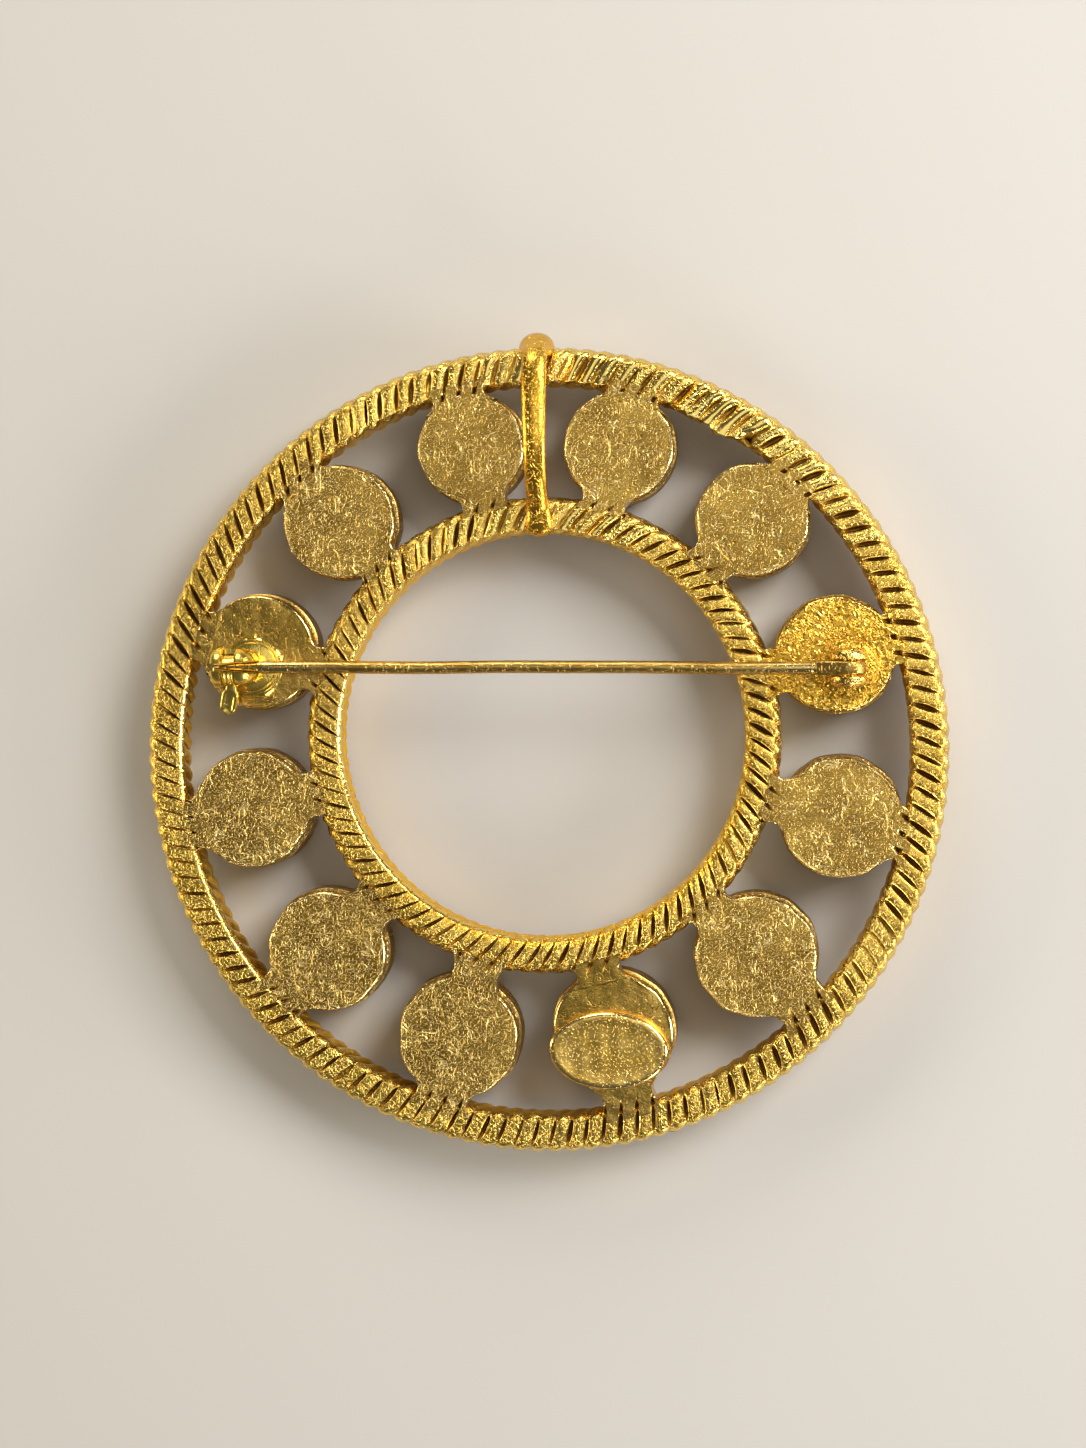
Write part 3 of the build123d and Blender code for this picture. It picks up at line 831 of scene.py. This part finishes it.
# %% Lay the ropes
outer_ring = Rope(
    outer_inside, outer_w, outer_depth, outer_center, strands=140, twist=4,
    moods=outer_moods, falls=outer_falls, lumps=outer_lumps, seed=3,
)
inner_ring = Rope(
    inner_r, inner_w, inner_depth, inner_center, strands=88, twist=6,
    moods=inner_moods, falls=inner_falls, lumps=inner_lumps, seed=5,
)
for name, ring in (("outer_rope", outer_ring), ("inner_rope", inner_ring)):
    points, masks = rope(ring)
    sheets = Sheets()
    sheets.add(points, True, True, shift=-ring.twist * len(slot_patina_and_shade), **masks)
    sheets.piece(name, rope_gold)

# %% [markdown]
# ## Cups
# Twelve cups once held the stones' settings at the front. From the back each is a flat disc with a
# worn edge, a small step, a row of tiny beads and a plain wall down to the dome. We turn each one as
# on a lathe, but let its edge wander a little, because hand filing never leaves a perfect circle.

# %% Cup places
# Columns: clock angle about the inner rope's centre, share of the way from rope to rope at which the
# middle is, share of the room between the ropes that it fills
cup_rows = [
    (15.0, 0.532, 0.990),
    (44.3, 0.533, 0.975),
    (74.3, 0.523, 0.952),
    (104.9, 0.527, 0.923),
    (135.5, 0.481, 0.888),
    (166.4, 0.465, 0.862),
    (195.5, 0.535, 0.863),
    (225.0, 0.502, 0.883),
    (255.7, 0.497, 0.908),
    (286.3, 0.496, 0.954),
    (316.4, 0.501, 0.993),
    (346.2, 0.521, 0.973),
]
hinge_cup, plate_cup, catch_cup = 2, 5, 9


def outwards(clock):
    """A step out from the inner rope's centre at a clock angle, and how far the outer rope is."""
    out = math.radians(90 - clock)
    x, y = math.cos(out), math.sin(out)
    far = math.sqrt(outer_inside**2 - (inner_rise * x) ** 2) - inner_rise * y
    return np.array([x, y]), far


def cup_place(clock, way, room):
    """A cup's middle and radius."""
    out, far = outwards(clock)
    gap = far - inner_outside
    return inner_center + (inner_outside + gap * way) * out, gap * room / 2


cups = [cup_place(*row) for row in cup_rows]
print("first cup at", cups[0][0].round(2), "radius", round(cups[0][1], 2))

# %% A cup's section
rim_wander = 0.015
cup_lip = 0.16
cup_wall_depth = 3.2
# Columns: inset from the cup's radius, height below the back, how much painted shade it takes (the
# walls are painted dark as if in shadow), how worn it is
cup_profile = [
    (0.42, 0.000, 0.0, 0.0),
    (0.24, 0.012, 0.0, 0.1),
    (0.14, 0.030, 0.0, 0.5),
    (0.07, 0.075, 0.0, 1.0),
    (0.02, 0.150, 0.0, 1.0),
    (0.00, 0.260, 0.1, 0.4),
    (0.00, 0.500, 0.45, 0.0),
    (0.00, 0.760, 0.55, 0.0),
    (0.04, 0.880, 0.7, 0.0),
    (0.13, 0.950, 0.9, 0.0),
    (0.14, 1.020, 0.9, 0.0),
    (0.06, 1.080, 0.3, 0.3),
    (0.00, 1.160, 0.0, 1.0),
    (0.05, 1.250, 0.3, 0.3),
    (0.10, 1.310, 0.9, 0.0),
    (-0.03, 1.380, 0.7, 0.2),
    (-0.13, 1.440, 0.5, 0.5),
    (-0.15, 1.560, 0.55, 0.1),
    (-0.16, 2.300, 0.6, 0.0),
    (-0.16, 3.060, 0.6, 0.0),
]
print("cup section", len(cup_profile), "rows")

# %% One cup
disc_shares = np.array([0.02, 0.2, 0.4, 0.6, 0.8, 0.93])
dented_rings = 8
bead_row = 12
bead_pitch = 0.46
bead_height = 0.05
points_per_bead = 4
dome_steps = 9
dome_wear = 0.3


def turn_cup(middle, r, seed):
    """Points and masks of one cup, from the middle of its back to the tip of its dome."""
    beads = round(2 * math.pi * r / bead_pitch)
    angle = full_turn(beads * points_per_bead)
    rim = r * (1 + rim_wander * round_wobble(angle, r, 2.6, seed))
    inset, depth, painted_wall_shade, worn = np.array(cup_profile).T
    wall_r = r + cup_lip
    wall_z = back_z - cup_wall_depth
    ball_r = (wall_r**2 + wall_z**2) / (2 * wall_z)
    fall = np.arange(dome_steps, -1, -1) / dome_steps * math.asin(wall_r / ball_r)
    dome = np.tile(ball_r * np.sin(fall), (len(angle), 1))
    rr = np.concatenate([(rim - inset[0]) * disc_shares, rim - inset, dome], axis=1)
    disc_z = np.full(len(disc_shares), back_z)
    zz = np.concatenate([disc_z, back_z - depth, ball_r * (1 - np.cos(fall))])
    # The painted shade goes only on the wall's rows, neither on the disc nor on the dome
    painted_wall_shade = np.concatenate([0 * disc_z, painted_wall_shade, 0 * fall])
    worn = np.concatenate([0 * disc_z, worn, 0 * fall + dome_wear])

    ring = np.arange(len(zz)) - len(disc_z)
    bead = np.cos(beads * angle) * np.exp(-((ring - bead_row) / 1.3) ** 2)
    bead = bead * (ring >= 0) * (ring < len(inset))
    rr = rr + bead_height * bead
    x = middle[0] + rr * np.cos(angle)
    y = middle[1] + rr * np.sin(angle)
    dent = 0.014 * wobble(x, y, 1.3, seed + 50) + 0.02 * wobble(x, y, 3.5, seed + 90) - 0.034
    zz = zz + dent * (ring < dented_rings - len(disc_z))
    # The painted shade is lifted on the bead crests and deepened between them, as painted highlights
    # on the beads
    return points_at(x, y, zz), np.clip(painted_wall_shade - 0.5 * bead * (painted_wall_shade > 0.2), 0, 1), worn


print("beads round the first cup", round(2 * math.pi * cups[0][1] / bead_pitch))

# %% Turn the cups
cup_golds = {
    "cups": back_gold, "hinge_cup": cast_gold, "catch_cup": smooth_gold, "plate_cup": smooth_gold,
}
cup_kinds = {hinge_cup: "hinge_cup", catch_cup: "catch_cup", plate_cup: "plate_cup"}
cup_sheets = {name: Sheets() for name in cup_golds}
for i, (middle, r) in enumerate(cups):
    points, painted_wall_shade, worn = turn_cup(middle, r, 20 + i)
    # The cups' walls get their painted shade through the same mask as the ropes' patina
    cup_sheets[cup_kinds.get(i, "cups")].add(points, True, groove=painted_wall_shade, worn=worn, flip=True)
for name, sheets in cup_sheets.items():
    sheets.piece(name, cup_golds[name])

# %% [markdown]
# ## Necks
# Where a cup meets a rope, the metal was cast and filed as one, so the flat back runs on into the
# rope, and the rope's slots run out into the neck with round ends. We lay a fine sheet over each
# such bridge, press the slots into it where the strands' own phase says they are, and turn its
# edges down.

# %% A neck's sizes
neck_flare = 0.8
neck_rows, neck_columns = 46, 84
# Columns: depth below the back, push outwards, how worn it is
neck_sides = [(0.05, 0.05, 1.0), (0.16, 0.08, 0.8), (0.5, 0.09, 0.2), (1.5, 0.09, 0.0)]
neck_lap = 0.9
neck_under = 0.004
neck_wave = 0.012
outer_waist, inner_waist = 1.75, 1.5
outer_bite, inner_bite = 0.30, 0.26
slots_from, slots_to = 0.12, 0.74
slot_half_pitch = 0.165
slot_deep = 0.42
print("neck sheet", neck_rows, "x", neck_columns, "points")


# %% The slots in a neck
def slot_press(xy, ring, on_outside):
    """How deep a rope's slots are at places on its back or beside it, where they run out."""
    x, y = np.moveaxis(xy - ring.center, -1, 0)
    spot = (np.hypot(x, y) - ring.inside_r) / ring.width
    turn = np.arctan2(y, x)
    girth = section_line(ring)[3]
    way = (spot - share[slots_begin]) * ring.width / girth
    wide, _, lean, _, _ = moods_at(ring, (90 - np.degrees(turn)) % 360)
    turn = turn + lean * (spot - 0.5) * ring.width / (ring.inside_r + ring.width / 2)
    phase = turn * ring.strands / (2 * math.pi) + ring.twist * way
    phase = phase - np.round(phase)
    beyond = spot - slots_to if on_outside else slots_from - spot
    fade = 1 - smooth(beyond * ring.width)
    half = slot_half_pitch * wide * np.sqrt(fade) + 1e-6
    return slot_deep * fade * np.sqrt(np.clip(1 - (phase / half) ** 2, 0, 1))


print("slots are", slot_deep, "mm deep")


# %% One neck
def turned_down(edge, depth, push):
    """A neck's edge, lowered below the back and pushed aside."""
    low = edge.copy()
    low[..., 2] = np.minimum(edge[..., 2], back_z - depth)
    low[..., :2] += push
    return low


def lay_neck(middle, r, clock, outward, seed):
    """Points and masks of one neck."""
    along, far = outwards(clock)
    reach = np.hypot(*(middle - inner_center))
    if outward:
        ring, waist, gap, bite = outer_ring, outer_waist, far - reach - r, outer_bite
    else:
        ring, waist, gap, bite = inner_ring, inner_waist, reach - r - inner_outside, inner_bite
        along = -along
    across = np.array([-along[1], along[0]])
    start, end = r - neck_lap, r + gap + bite * ring.width
    s = np.linspace(0, 1, neck_rows)[:, None]
    distance = start + (end - start) * s
    pinch = np.abs((distance - r - gap / 2) / (neck_lap + gap / 2)) ** 2.2
    half = waist + neck_flare * np.clip(pinch, 0, 1.3) + 0.06 * wobble(distance, 0, 1.2, seed)
    t = np.linspace(-1, 1, neck_columns)
    xy = middle + distance[..., None] * along + (half * t)[..., None] * across
    press = slot_press(xy, ring, not outward)
    x, y = np.moveaxis(xy, -1, 0)
    sunk = 0.06 * (1 - smooth(s / 0.12))
    waves = neck_wave * (1 + wobble(x, y, 1.5, seed + 7))
    top = points_at(x, y, back_z - neck_under - sunk - press - waves)

    rows, worn = [top], list(0 * t)
    for depth, push, wear in neck_sides:
        left = turned_down(top[:, :1], depth, -push * across)
        right = turned_down(top[:, -1:], depth, push * across)
        rows, worn = [left, *rows, right], [wear, *worn, wear]
    pad = len(neck_sides)
    # Patina and painted shade in the neck's slots, stronger where they are deeper
    groove = np.pad(np.clip(press / 0.3, 0, 1), ((0, 0), (pad, pad)))
    return np.concatenate(rows, axis=1), groove, worn


print("a neck's sides have", len(neck_sides), "rows")

# %% Lay the necks
neck_golds = {"scratched_necks": back_gold, "smooth_necks": smooth_gold, "cast_necks": cast_gold}
neck_kinds = {hinge_cup: "cast_necks", catch_cup: "smooth_necks", plate_cup: "smooth_necks"}
neck_sheets = {name: Sheets() for name in neck_golds}
for i, ((middle, r), row) in enumerate(zip(cups, cup_rows)):
    for outward in (True, False):
        points, groove, worn = lay_neck(middle, r, row[0], outward, 200 + 2 * i + outward)
        sheets = neck_sheets[neck_kinds.get(i, "scratched_necks")]
        sheets.add(points, groove=groove, worn=worn, flip=True)
for name, sheets in neck_sheets.items():
    sheets.piece(name, neck_golds[name])

# %% [markdown]
# ## The bail
# The bail is a drawn strap, half round on top, that was bent into an arch and soldered across both
# ropes so that a chain can pass under it. Its outer end swells into a smooth bulb that hugs the
# rim. We sweep a section along the arch and let its width, thickness and flatness change on the way.

# %% Sweep the bail
bail_x = -0.32
bail_rise = 2.9
bail_wave = 0.018
# Columns: share of the way from the inner rope's inside to the outer rim, share of the rise, half
# width, half thickness, how flat the underside is, sideways lean
bail_route = [
    (1.000, -0.52, 0.30, 0.40, 0.0, 0.00),
    (1.000, -0.40, 0.95, 0.85, 0.0, 0.00),
    (0.990, -0.15, 1.22, 1.04, 0.0, 0.00),
    (0.978, 0.12, 1.16, 0.93, 0.0, 0.01),
    (0.968, 0.33, 0.98, 0.62, 0.3, 0.02),
    (0.945, 0.53, 0.90, 0.43, 0.8, 0.03),
    (0.890, 0.70, 0.87, 0.40, 1.0, 0.04),
    (0.800, 0.81, 0.86, 0.40, 1.0, 0.05),
    (0.660, 0.865, 0.84, 0.40, 1.0, 0.07),
    (0.500, 0.890, 0.79, 0.40, 1.0, 0.09),
    (0.380, 0.820, 0.76, 0.40, 1.0, 0.11),
    (0.280, 0.660, 0.75, 0.40, 1.0, 0.13),
    (0.200, 0.410, 0.75, 0.40, 1.0, 0.15),
    (0.130, 0.190, 0.80, 0.40, 1.0, 0.17),
    (0.060, 0.110, 0.89, 0.40, 1.0, 0.19),
    (0.018, 0.030, 0.86, 0.40, 1.0, 0.20),
    (0.012, -0.140, 0.78, 0.38, 1.0, 0.20),
    (0.012, -0.300, 0.66, 0.34, 1.0, 0.20),
    (0.012, -0.400, 0.30, 0.15, 1.0, 0.20),
]
way, rise, half_wide, half_thick, flat_under, lean = fine_curve(bail_route, 10).T[..., None]
bail_in = inner_center[1] + inner_r
line_y = bail_in + way * (outer_center[1] + outer_r - bail_in)
line_z = back_z + rise * bail_rise
ahead_y, ahead_z = np.gradient(line_y, axis=0), np.gradient(line_z, axis=0)
ahead = np.hypot(ahead_y, ahead_z)
turn = full_turn(48).T
under = np.clip(-np.sin(turn), 0, 1)
lift = half_thick * (np.sin(turn) + flat_under * under**0.35 * (under - 0.75 * under**0.2))
x = bail_x + lean + half_wide * np.cos(turn) * (1 + 0.10 * flat_under * under * (1 - under))
y = line_y + ahead_z / ahead * lift
z = line_z - ahead_y / ahead * lift
bail = Sheets()
z = z + bail_wave * wobble(x, y, 1.8, 301) - 0.01
bail.add(points_at(x, y, z), False, True, flip=True)
bail.piece("bail", polished_gold)

# %% [markdown]
# ## The oval plate
# A small oval plate is soldered over the lower part of one cup. It is thick enough to have a rounded
# edge, and its face is a little uneven. We build it as ever smaller ovals, from its foot inwards.

# %% Build the oval plate
oval_place = cups[plate_cup][0] + np.array([-0.24, -1.15])
oval_half = (4.2, 2.75)
oval_points = 220
edge_wander = 0.008
face_wave = 0.02
# Columns: inset from the outline, height above the backs, how worn it is
oval_profile = [
    (0.10, -0.04, 0.0),
    (0.03, 0.10, 0.0),
    (0.00, 0.26, 0.0),
    (0.00, 0.42, 0.2),
    (0.03, 0.54, 0.6),
    (0.10, 0.64, 1.0),
    (0.20, 0.70, 0.7),
    (0.34, 0.725, 0.2),
    (0.52, 0.715, 0.0),
    (0.80, 0.69, 0.0),
    *[(inset, 0.68, 0.0) for inset in (1.1, 1.5, 1.9, 2.3, 2.6, 2.74)],
]
inset, height, worn = np.array(oval_profile).T
angle = full_turn(oval_points)
edge = 1 + edge_wander * round_wobble(angle, 4, 3.0, 311)
x = oval_place[0] + (oval_half[0] * edge - inset) * np.cos(angle)
y = oval_place[1] + (oval_half[1] * edge - inset) * np.sin(angle)
z = back_z + height + face_wave * wobble(x, y, 1.4, 312) * (inset > 0.25)
ovals = points_at(x, y, z)
oval = Sheets()
oval.add(ovals, True, worn=worn, flip=True)
over = np.arange(oval_points // 2 + 1)
oval.add(np.stack([ovals[over, -1], ovals[-over, -1]], axis=1), flip=True)
oval.piece("oval_plate", plate_gold)

# %% [markdown]
# ## The hinge
# The pin turns between two upright ears on a domed round base. Castings like this are bought ready
# made and soldered on. The base is turned; an ear is a stack of outlines, each a little smaller
# towards its faces, so that its edge is round.

# %% Where the pin lies, and what a base needs
pin_z = back_z + 2.0
hinge_x = cups[hinge_cup][0][0] + 0.86
catch_x = cups[catch_cup][0][0] - 0.3
pin_y = (cups[hinge_cup][0][1] + cups[catch_cup][0][1]) / 2 - 0.97


def turned(sheets, x, angle, r, height):
    """A shape turned about an upright axis under the pin: its radii and heights above the backs."""
    points = points_at(x + r * np.cos(angle), pin_y + r * np.sin(angle), back_z + height)
    sheets.add(points, True, flip=True)


def solder(sheets, x, radius, lumpy, seed):
    """The collar of solder round a base: thin in some places and in beads in others."""
    angle = full_turn(150)
    blob = round_wobble(angle, radius, 1.3, seed)
    amount = 0.12 + lumpy * np.clip(blob + 0.5 * np.sin(angle + seed), 0, 1.4)
    reach = 1.6 * np.array([1.00, 0.85, 0.60, 0.35, 0.12, 0.0])
    height = np.array([-0.03, 0.25, 0.62, 0.9, 1.0, 1.0])
    turned(sheets, x, angle, radius - 0.03 + amount * reach, amount * height - 0.02)


print("pin from", round(catch_x, 2), "to", round(hinge_x, 2), "at y", round(pin_y, 2))

# %% Build the hinge seat
hinge_base_r = 2.03
ear_r = 1.3
ear_gap = 0.6
ear_foot = 0.25
ear_points = 60


def ear_outline(inset):
    """An ear seen along the rivet: round at the top, straight sides and a flared foot."""
    r = ear_r - inset
    side_points = ear_points // 4
    top = np.linspace(0, math.pi, ear_points - 2 * side_points)
    down = np.linspace(0, 1, side_points + 1)[1:]
    right = np.stack([r + ear_foot * down**6, (back_z - pin_z - 0.04) * down], axis=-1)
    return np.concatenate([right[::-1], on_circle(top, r), right * (-1, 1)]).T


# Columns: radius, height above the backs
hinge_base = [
    (2.06, -0.04), (hinge_base_r, 0.05), (hinge_base_r, 0.20), (1.99, 0.29), (1.90, 0.345),
    (1.60, 0.41), (1.20, 0.47), (0.80, 0.515), (0.40, 0.54), (0.01, 0.55),
]
# Columns: place across the ear from its inner face, inset from its outline
ear_rows = [
    (0.00, 1.20), (0.00, 0.05), (0.03, 0.01), (0.10, 0.00), (0.26, 0.02),
    (0.42, 0.07), (0.57, 0.16), (0.69, 0.30), (0.76, 0.50), (0.79, 0.80), (0.80, 1.20),
]
hinge = Sheets()
turned(hinge, hinge_x, full_turn(96), *np.array(hinge_base).T)
solder(hinge, hinge_x, hinge_base_r, 0.08, 4)
for way in (-1, 1):
    rows = []
    for place, inset in ear_rows:
        x, z = ear_outline(inset)
        rows.append(points_at(hinge_x + x, pin_y + way * (ear_gap + place), pin_z + z))
    hinge.add(np.stack(rows), worn=0.6, flip=way > 0)
hinge.piece("hinge_seat", cast_gold)

# %% [markdown]
# ## The catch
# The catch has a fixed part and a part that rolls. The fixed part has a left flange and a right
# dome, joined by a tube, with one slot cut through all three from above, so that the pin can drop
# in. We stack sections along the pin line: each is a U that wraps round the slot.

# %% A section of the catch
flange_x = catch_x - 2.5
tip_x = flange_x + 0.35
flange_r, tube_r, dome_r = 1.4, 0.86, 1.38
flange_w, roller_w, roller_gap = 0.80, 0.83, 0.07
roller_x = flange_x + flange_w + roller_gap
dome_x = roller_x + roller_w + roller_gap
leg_half = 0.85
leg_down = 2.04
u_points = 40
slot_from = flange_x - 0.35
slot_narrow, slot_growth = 0.22, 0.29 / 4.1
catch_base_r = 1.95


def slot_half(x):
    """Half the slot's width, which grows with the pin's tapered end."""
    return slot_narrow + slot_growth * (x - slot_from)


def u_section(x, outer, leg):
    """A U round the slot, at one place along the pin line: its outside, then the slot's wall back."""
    slot = slot_half(x)
    start = math.asin(min(slot / outer, 1.0))
    turn = np.linspace(math.pi / 2 + start, 2.5 * math.pi - start, u_points)
    side = leg_half / np.maximum(np.abs(np.cos(turn)), 0.02)
    post = np.minimum(side, leg_down / np.clip(-np.sin(turn), 0.02, 1)) * (np.sin(turn) < -0.2)
    r = np.maximum(outer, leg * post)
    wall = u_points // 4
    bottom = np.linspace(math.pi, 2 * math.pi, u_points - 2 * wall)
    left = np.stack([np.full(wall, -slot), np.linspace(outer * math.cos(start), 0.02, wall)], axis=-1)
    inside = np.concatenate([left, on_circle(bottom, slot), (left * (-1, 1))[::-1]])
    y, z = np.concatenate([on_circle(turn, r), inside[::-1]]).T
    return points_at(x, pin_y + y, pin_z + z)


print("flange at", round(flange_x, 2), "roller at", round(roller_x, 2), "dome at", round(dome_x, 2))

# %% Build the catch seat
# Columns: place along the pin line, outer radius, share of a leg down to the base
catch_rows = [
    (flange_x, 0.85, 0.0),
    (flange_x + 0.03, 1.05, 0.5),
    (flange_x + 0.10, 1.21, 0.8),
    (flange_x + 0.22, 1.33, 1.0),
    (flange_x + 0.40, 1.385, 1.0),
    (flange_x + 0.66, flange_r, 1.0),
    (flange_x + 0.77, 1.375, 1.0),
    (flange_x + flange_w, 1.32, 1.0),
    (flange_x + flange_w + 0.001, tube_r, 0.0),
    (dome_x - 0.001, tube_r, 0.0),
    (dome_x, 1.27, 1.0),
    (dome_x + 0.04, 1.34, 1.0),
    (dome_x + 0.12, 1.37, 1.0),
    *[
        (dome_x + 0.25 + dome_r * math.sin(a), dome_r * math.cos(a), 1.0 - 0.6 * a)
        for a in np.linspace(0, 1.20, 12)
    ],
]
# Columns: radius, height above the backs
catch_base = [
    (1.98, -0.04), (catch_base_r, 0.04), (catch_base_r, 0.22), (1.91, 0.30), (1.84, 0.325),
    (1.74, 0.33), (1.715, 0.36), (1.71, 0.54), (1.67, 0.61), (1.58, 0.64), (1.0, 0.65), (0.01, 0.66),
]
sections = [u_section(*row) for row in catch_rows]
closed = sections[0].copy()
closed[:u_points] = closed[u_points:][::-1]
in_slot = 1.0 * (np.arange(2 * u_points) >= u_points)
catch = Sheets()
catch.add(np.stack([closed, *sections]), False, True, worn=in_slot)
turned(catch, catch_x, full_turn(96), *np.array(catch_base).T)
solder(catch, catch_x, catch_base_r, 0.14, 8)
catch.piece("catch_seat", catch_gold)

# %% [markdown]
# ## The roller and its thumb lever
# A short ribbed sleeve with a matching slot turns on the catch's tube. Turned away, it closes the
# slot over the pin. Its thumb lever is a flat tongue with a shallow gutter along its top, bent a
# little to the left so that a fingertip finds it.

# %% Build the roller
bore_r = 0.92
# Columns: share of the roller's width, radius
sleeve_profile = [
    (0.00, 0.98), (0.00, 1.20), (0.03, 1.26), (0.10, 1.30), (0.22, 1.30), (0.30, 1.26),
    (0.36, 1.23), (0.42, 1.26), (0.48, 1.30), (0.56, 1.30), (0.64, 1.26), (0.70, 1.23),
    (0.76, 1.26), (0.84, 1.30), (0.92, 1.29), (0.98, 1.25), (1.00, 1.19), (1.00, 0.98),
    (0.97, 0.925), (0.90, bore_r), (0.10, bore_r), (0.03, 0.925),
]
place, r = np.array(sleeve_profile).T
start = np.arcsin(slot_half(roller_x + roller_w) / r)
angle = math.pi / 2 + start + np.linspace(0, 1, 90)[:, None] * (1.5 * math.pi - start)
sleeve = points_at(
    roller_x + roller_w * place, pin_y + r * np.cos(angle), pin_z + r * np.sin(angle),
)
ends = [np.broadcast_to(row.mean(axis=0), row.shape) for row in (sleeve[0], sleeve[-1])]
roller = Sheets()
roller.add(np.stack([ends[0], *sleeve, ends[1]]), False, True, flip=True)
print("sleeve", sleeve.shape[:2], "points")

# %% Build the lever
# Columns: distance along the lever from the pin line, half width, half thickness, gutter's depth,
# how much wider its underside is
lever_rows = [
    (1.10, 0.30, 0.20, 0.00, 0.00),
    (1.35, 0.34, 0.21, 0.00, 0.00),
    (1.62, 0.40, 0.23, 0.00, 0.03),
    (1.80, 0.50, 0.25, 0.04, 0.08),
    (2.05, 0.56, 0.26, 0.13, 0.10),
    (2.40, 0.57, 0.26, 0.15, 0.11),
    (2.80, 0.56, 0.26, 0.15, 0.11),
    (3.02, 0.52, 0.26, 0.14, 0.10),
    (3.18, 0.43, 0.25, 0.09, 0.08),
    (3.30, 0.29, 0.23, 0.02, 0.05),
    (3.38, 0.14, 0.17, 0.00, 0.02),
    (3.40, 0.02, 0.04, 0.00, 0.00),
]
skew_from = 1.61
skew, droop = math.radians(12), math.radians(10)
gutter_half = 0.33
side_square, top_square = 0.55, 0.45
reach, half_wide, half_thick, gutter_deep, spread = fine_curve(lever_rows, 4).T[..., None]
bend = np.clip(reach - skew_from, 0, None)
turn = full_turn(40).T
box_x = np.sign(np.cos(turn)) * np.abs(np.cos(turn)) ** side_square
box_z = np.sign(np.sin(turn)) * np.abs(np.sin(turn)) ** top_square
gutter = np.exp(-((box_x * half_wide / gutter_half) ** 4)) * (np.sin(turn) > 0)
aside = (half_wide + spread * (1 - box_z) / 2) * box_x
rise = half_thick * box_z - gutter_deep * gutter
slant = np.where(bend > 0, skew, 0.0)
x = aside * np.cos(slant) - bend * math.sin(skew)
y = -(np.minimum(reach, skew_from) + bend * math.cos(skew)) - aside * np.sin(slant)
lever = points_at(
    roller_x + roller_w / 2 + x,
    pin_y + y * math.cos(droop) - rise * math.sin(droop),
    pin_z + y * math.sin(droop) + rise * math.cos(droop),
)
roller.add(lever, False, True)
roller.piece("roller", catch_gold, "roller", ["catch_roller"], "roller_gold")

# %% [markdown]
# ## The pin
# The pin is a hard drawn wire with a point at one end. Its other end was pressed flat into an eye
# that turns on the rivet. Handling has rubbed its gold thinner and duller than the rest. The wire is
# turned round its own line with very slight bends, and the eye is a rounded section led round a
# teardrop.

# %% Draw the wire
wire_r = 0.45
eye_r, eye_length, eye_neck, eye_bore = 1.2, 2.4, 0.52, 0.45
# Columns: place along the pin line, radius
wire_rows = [
    (tip_x, 0.01), (tip_x + 0.03, 0.10), (tip_x + 0.12, 0.155), (tip_x + 0.5, 0.20),
    (tip_x + 1.4, 0.285), (tip_x + 2.4, 0.37), (tip_x + 3.4, 0.445), (tip_x + 4.2, wire_r),
    *[(x, wire_r) for x in np.linspace(tip_x + 5.5, hinge_x - eye_length - 0.4, 40)],
    (hinge_x - eye_length + 0.05, wire_r), (hinge_x - eye_length + 0.25, 0.42),
]
x, r = fine_curve(wire_rows, 3).T[..., None]
turn = full_turn(32).T
free = smooth((x - tip_x - 4) / 4) * smooth((hinge_x - 3 - x) / 4)
r = r * (1 - 0.012 * free * (1 + wobble(x, turn * 0.5, 2.2, 331)))
y = pin_y + r * np.cos(turn) + free * 0.05 * wobble(x, 0, 14, 332)
z = pin_z + r * np.sin(turn) + free * 0.04 * wobble(x, 0, 17, 333)
pin = Sheets()
pin.add(points_at(x, y, z), False, True, worn=0.5 * (1 - free), flip=True)
print("wire", len(x), "rings of points")

# %% Press the eye
# Columns: place across the eye, inset from its outline
eye_rows = [
    (0.50, 0.22), (0.47, 0.10), (0.40, 0.03), (0.30, 0.00), (0.10, 0.00),
    (-0.10, 0.00), (-0.30, 0.00), (-0.40, 0.03), (-0.47, 0.10), (-0.50, 0.22),
]
lean = math.asin((eye_r - eye_neck) / eye_length)
arc = np.linspace(math.pi / 2 + lean, -math.pi / 2 - lean, 50)
neck_way = np.linspace(0, 1, 14)[1:, None]
loops = []
for place, inset in eye_rows:
    head = on_circle(arc, eye_r - inset)
    neck_low = np.array([-eye_length, inset - eye_neck])
    neck_high = neck_low * (1, -1)
    under = head[-1] + neck_way * (neck_low - head[-1])
    over = neck_high + neck_way * (head[0] - neck_high)
    x, z = np.concatenate([head, under, over]).T
    loops.append(points_at(hinge_x + x, pin_y + place, pin_z + z))
turn = np.linspace(math.pi / 2 + lean, -1.5 * math.pi + lean, len(loops[0]), endpoint=False)
x, z = on_circle(turn, eye_bore).T
for place in (-0.50, 0.50):
    loops.append(points_at(hinge_x + x, pin_y + place, pin_z + z))
pin.add(np.stack(loops, axis=1), True, True)
pin.piece("pin_wire", wire_gold, "stem", ["pin_stem"], "pin_gold")

# %% [markdown]
# ## The rivet
# The rivet's plain turned shape is right as it was measured, so we keep it and only polish it.

# %% Give the rivet its gold
for part in scene.objects:
    if part.type == "MESH" and part.name.startswith("hinge_rivet"):
        part.data.materials.clear()
        part.data.materials.append(polished_gold)
        print(part.name, "is", polished_gold.name)
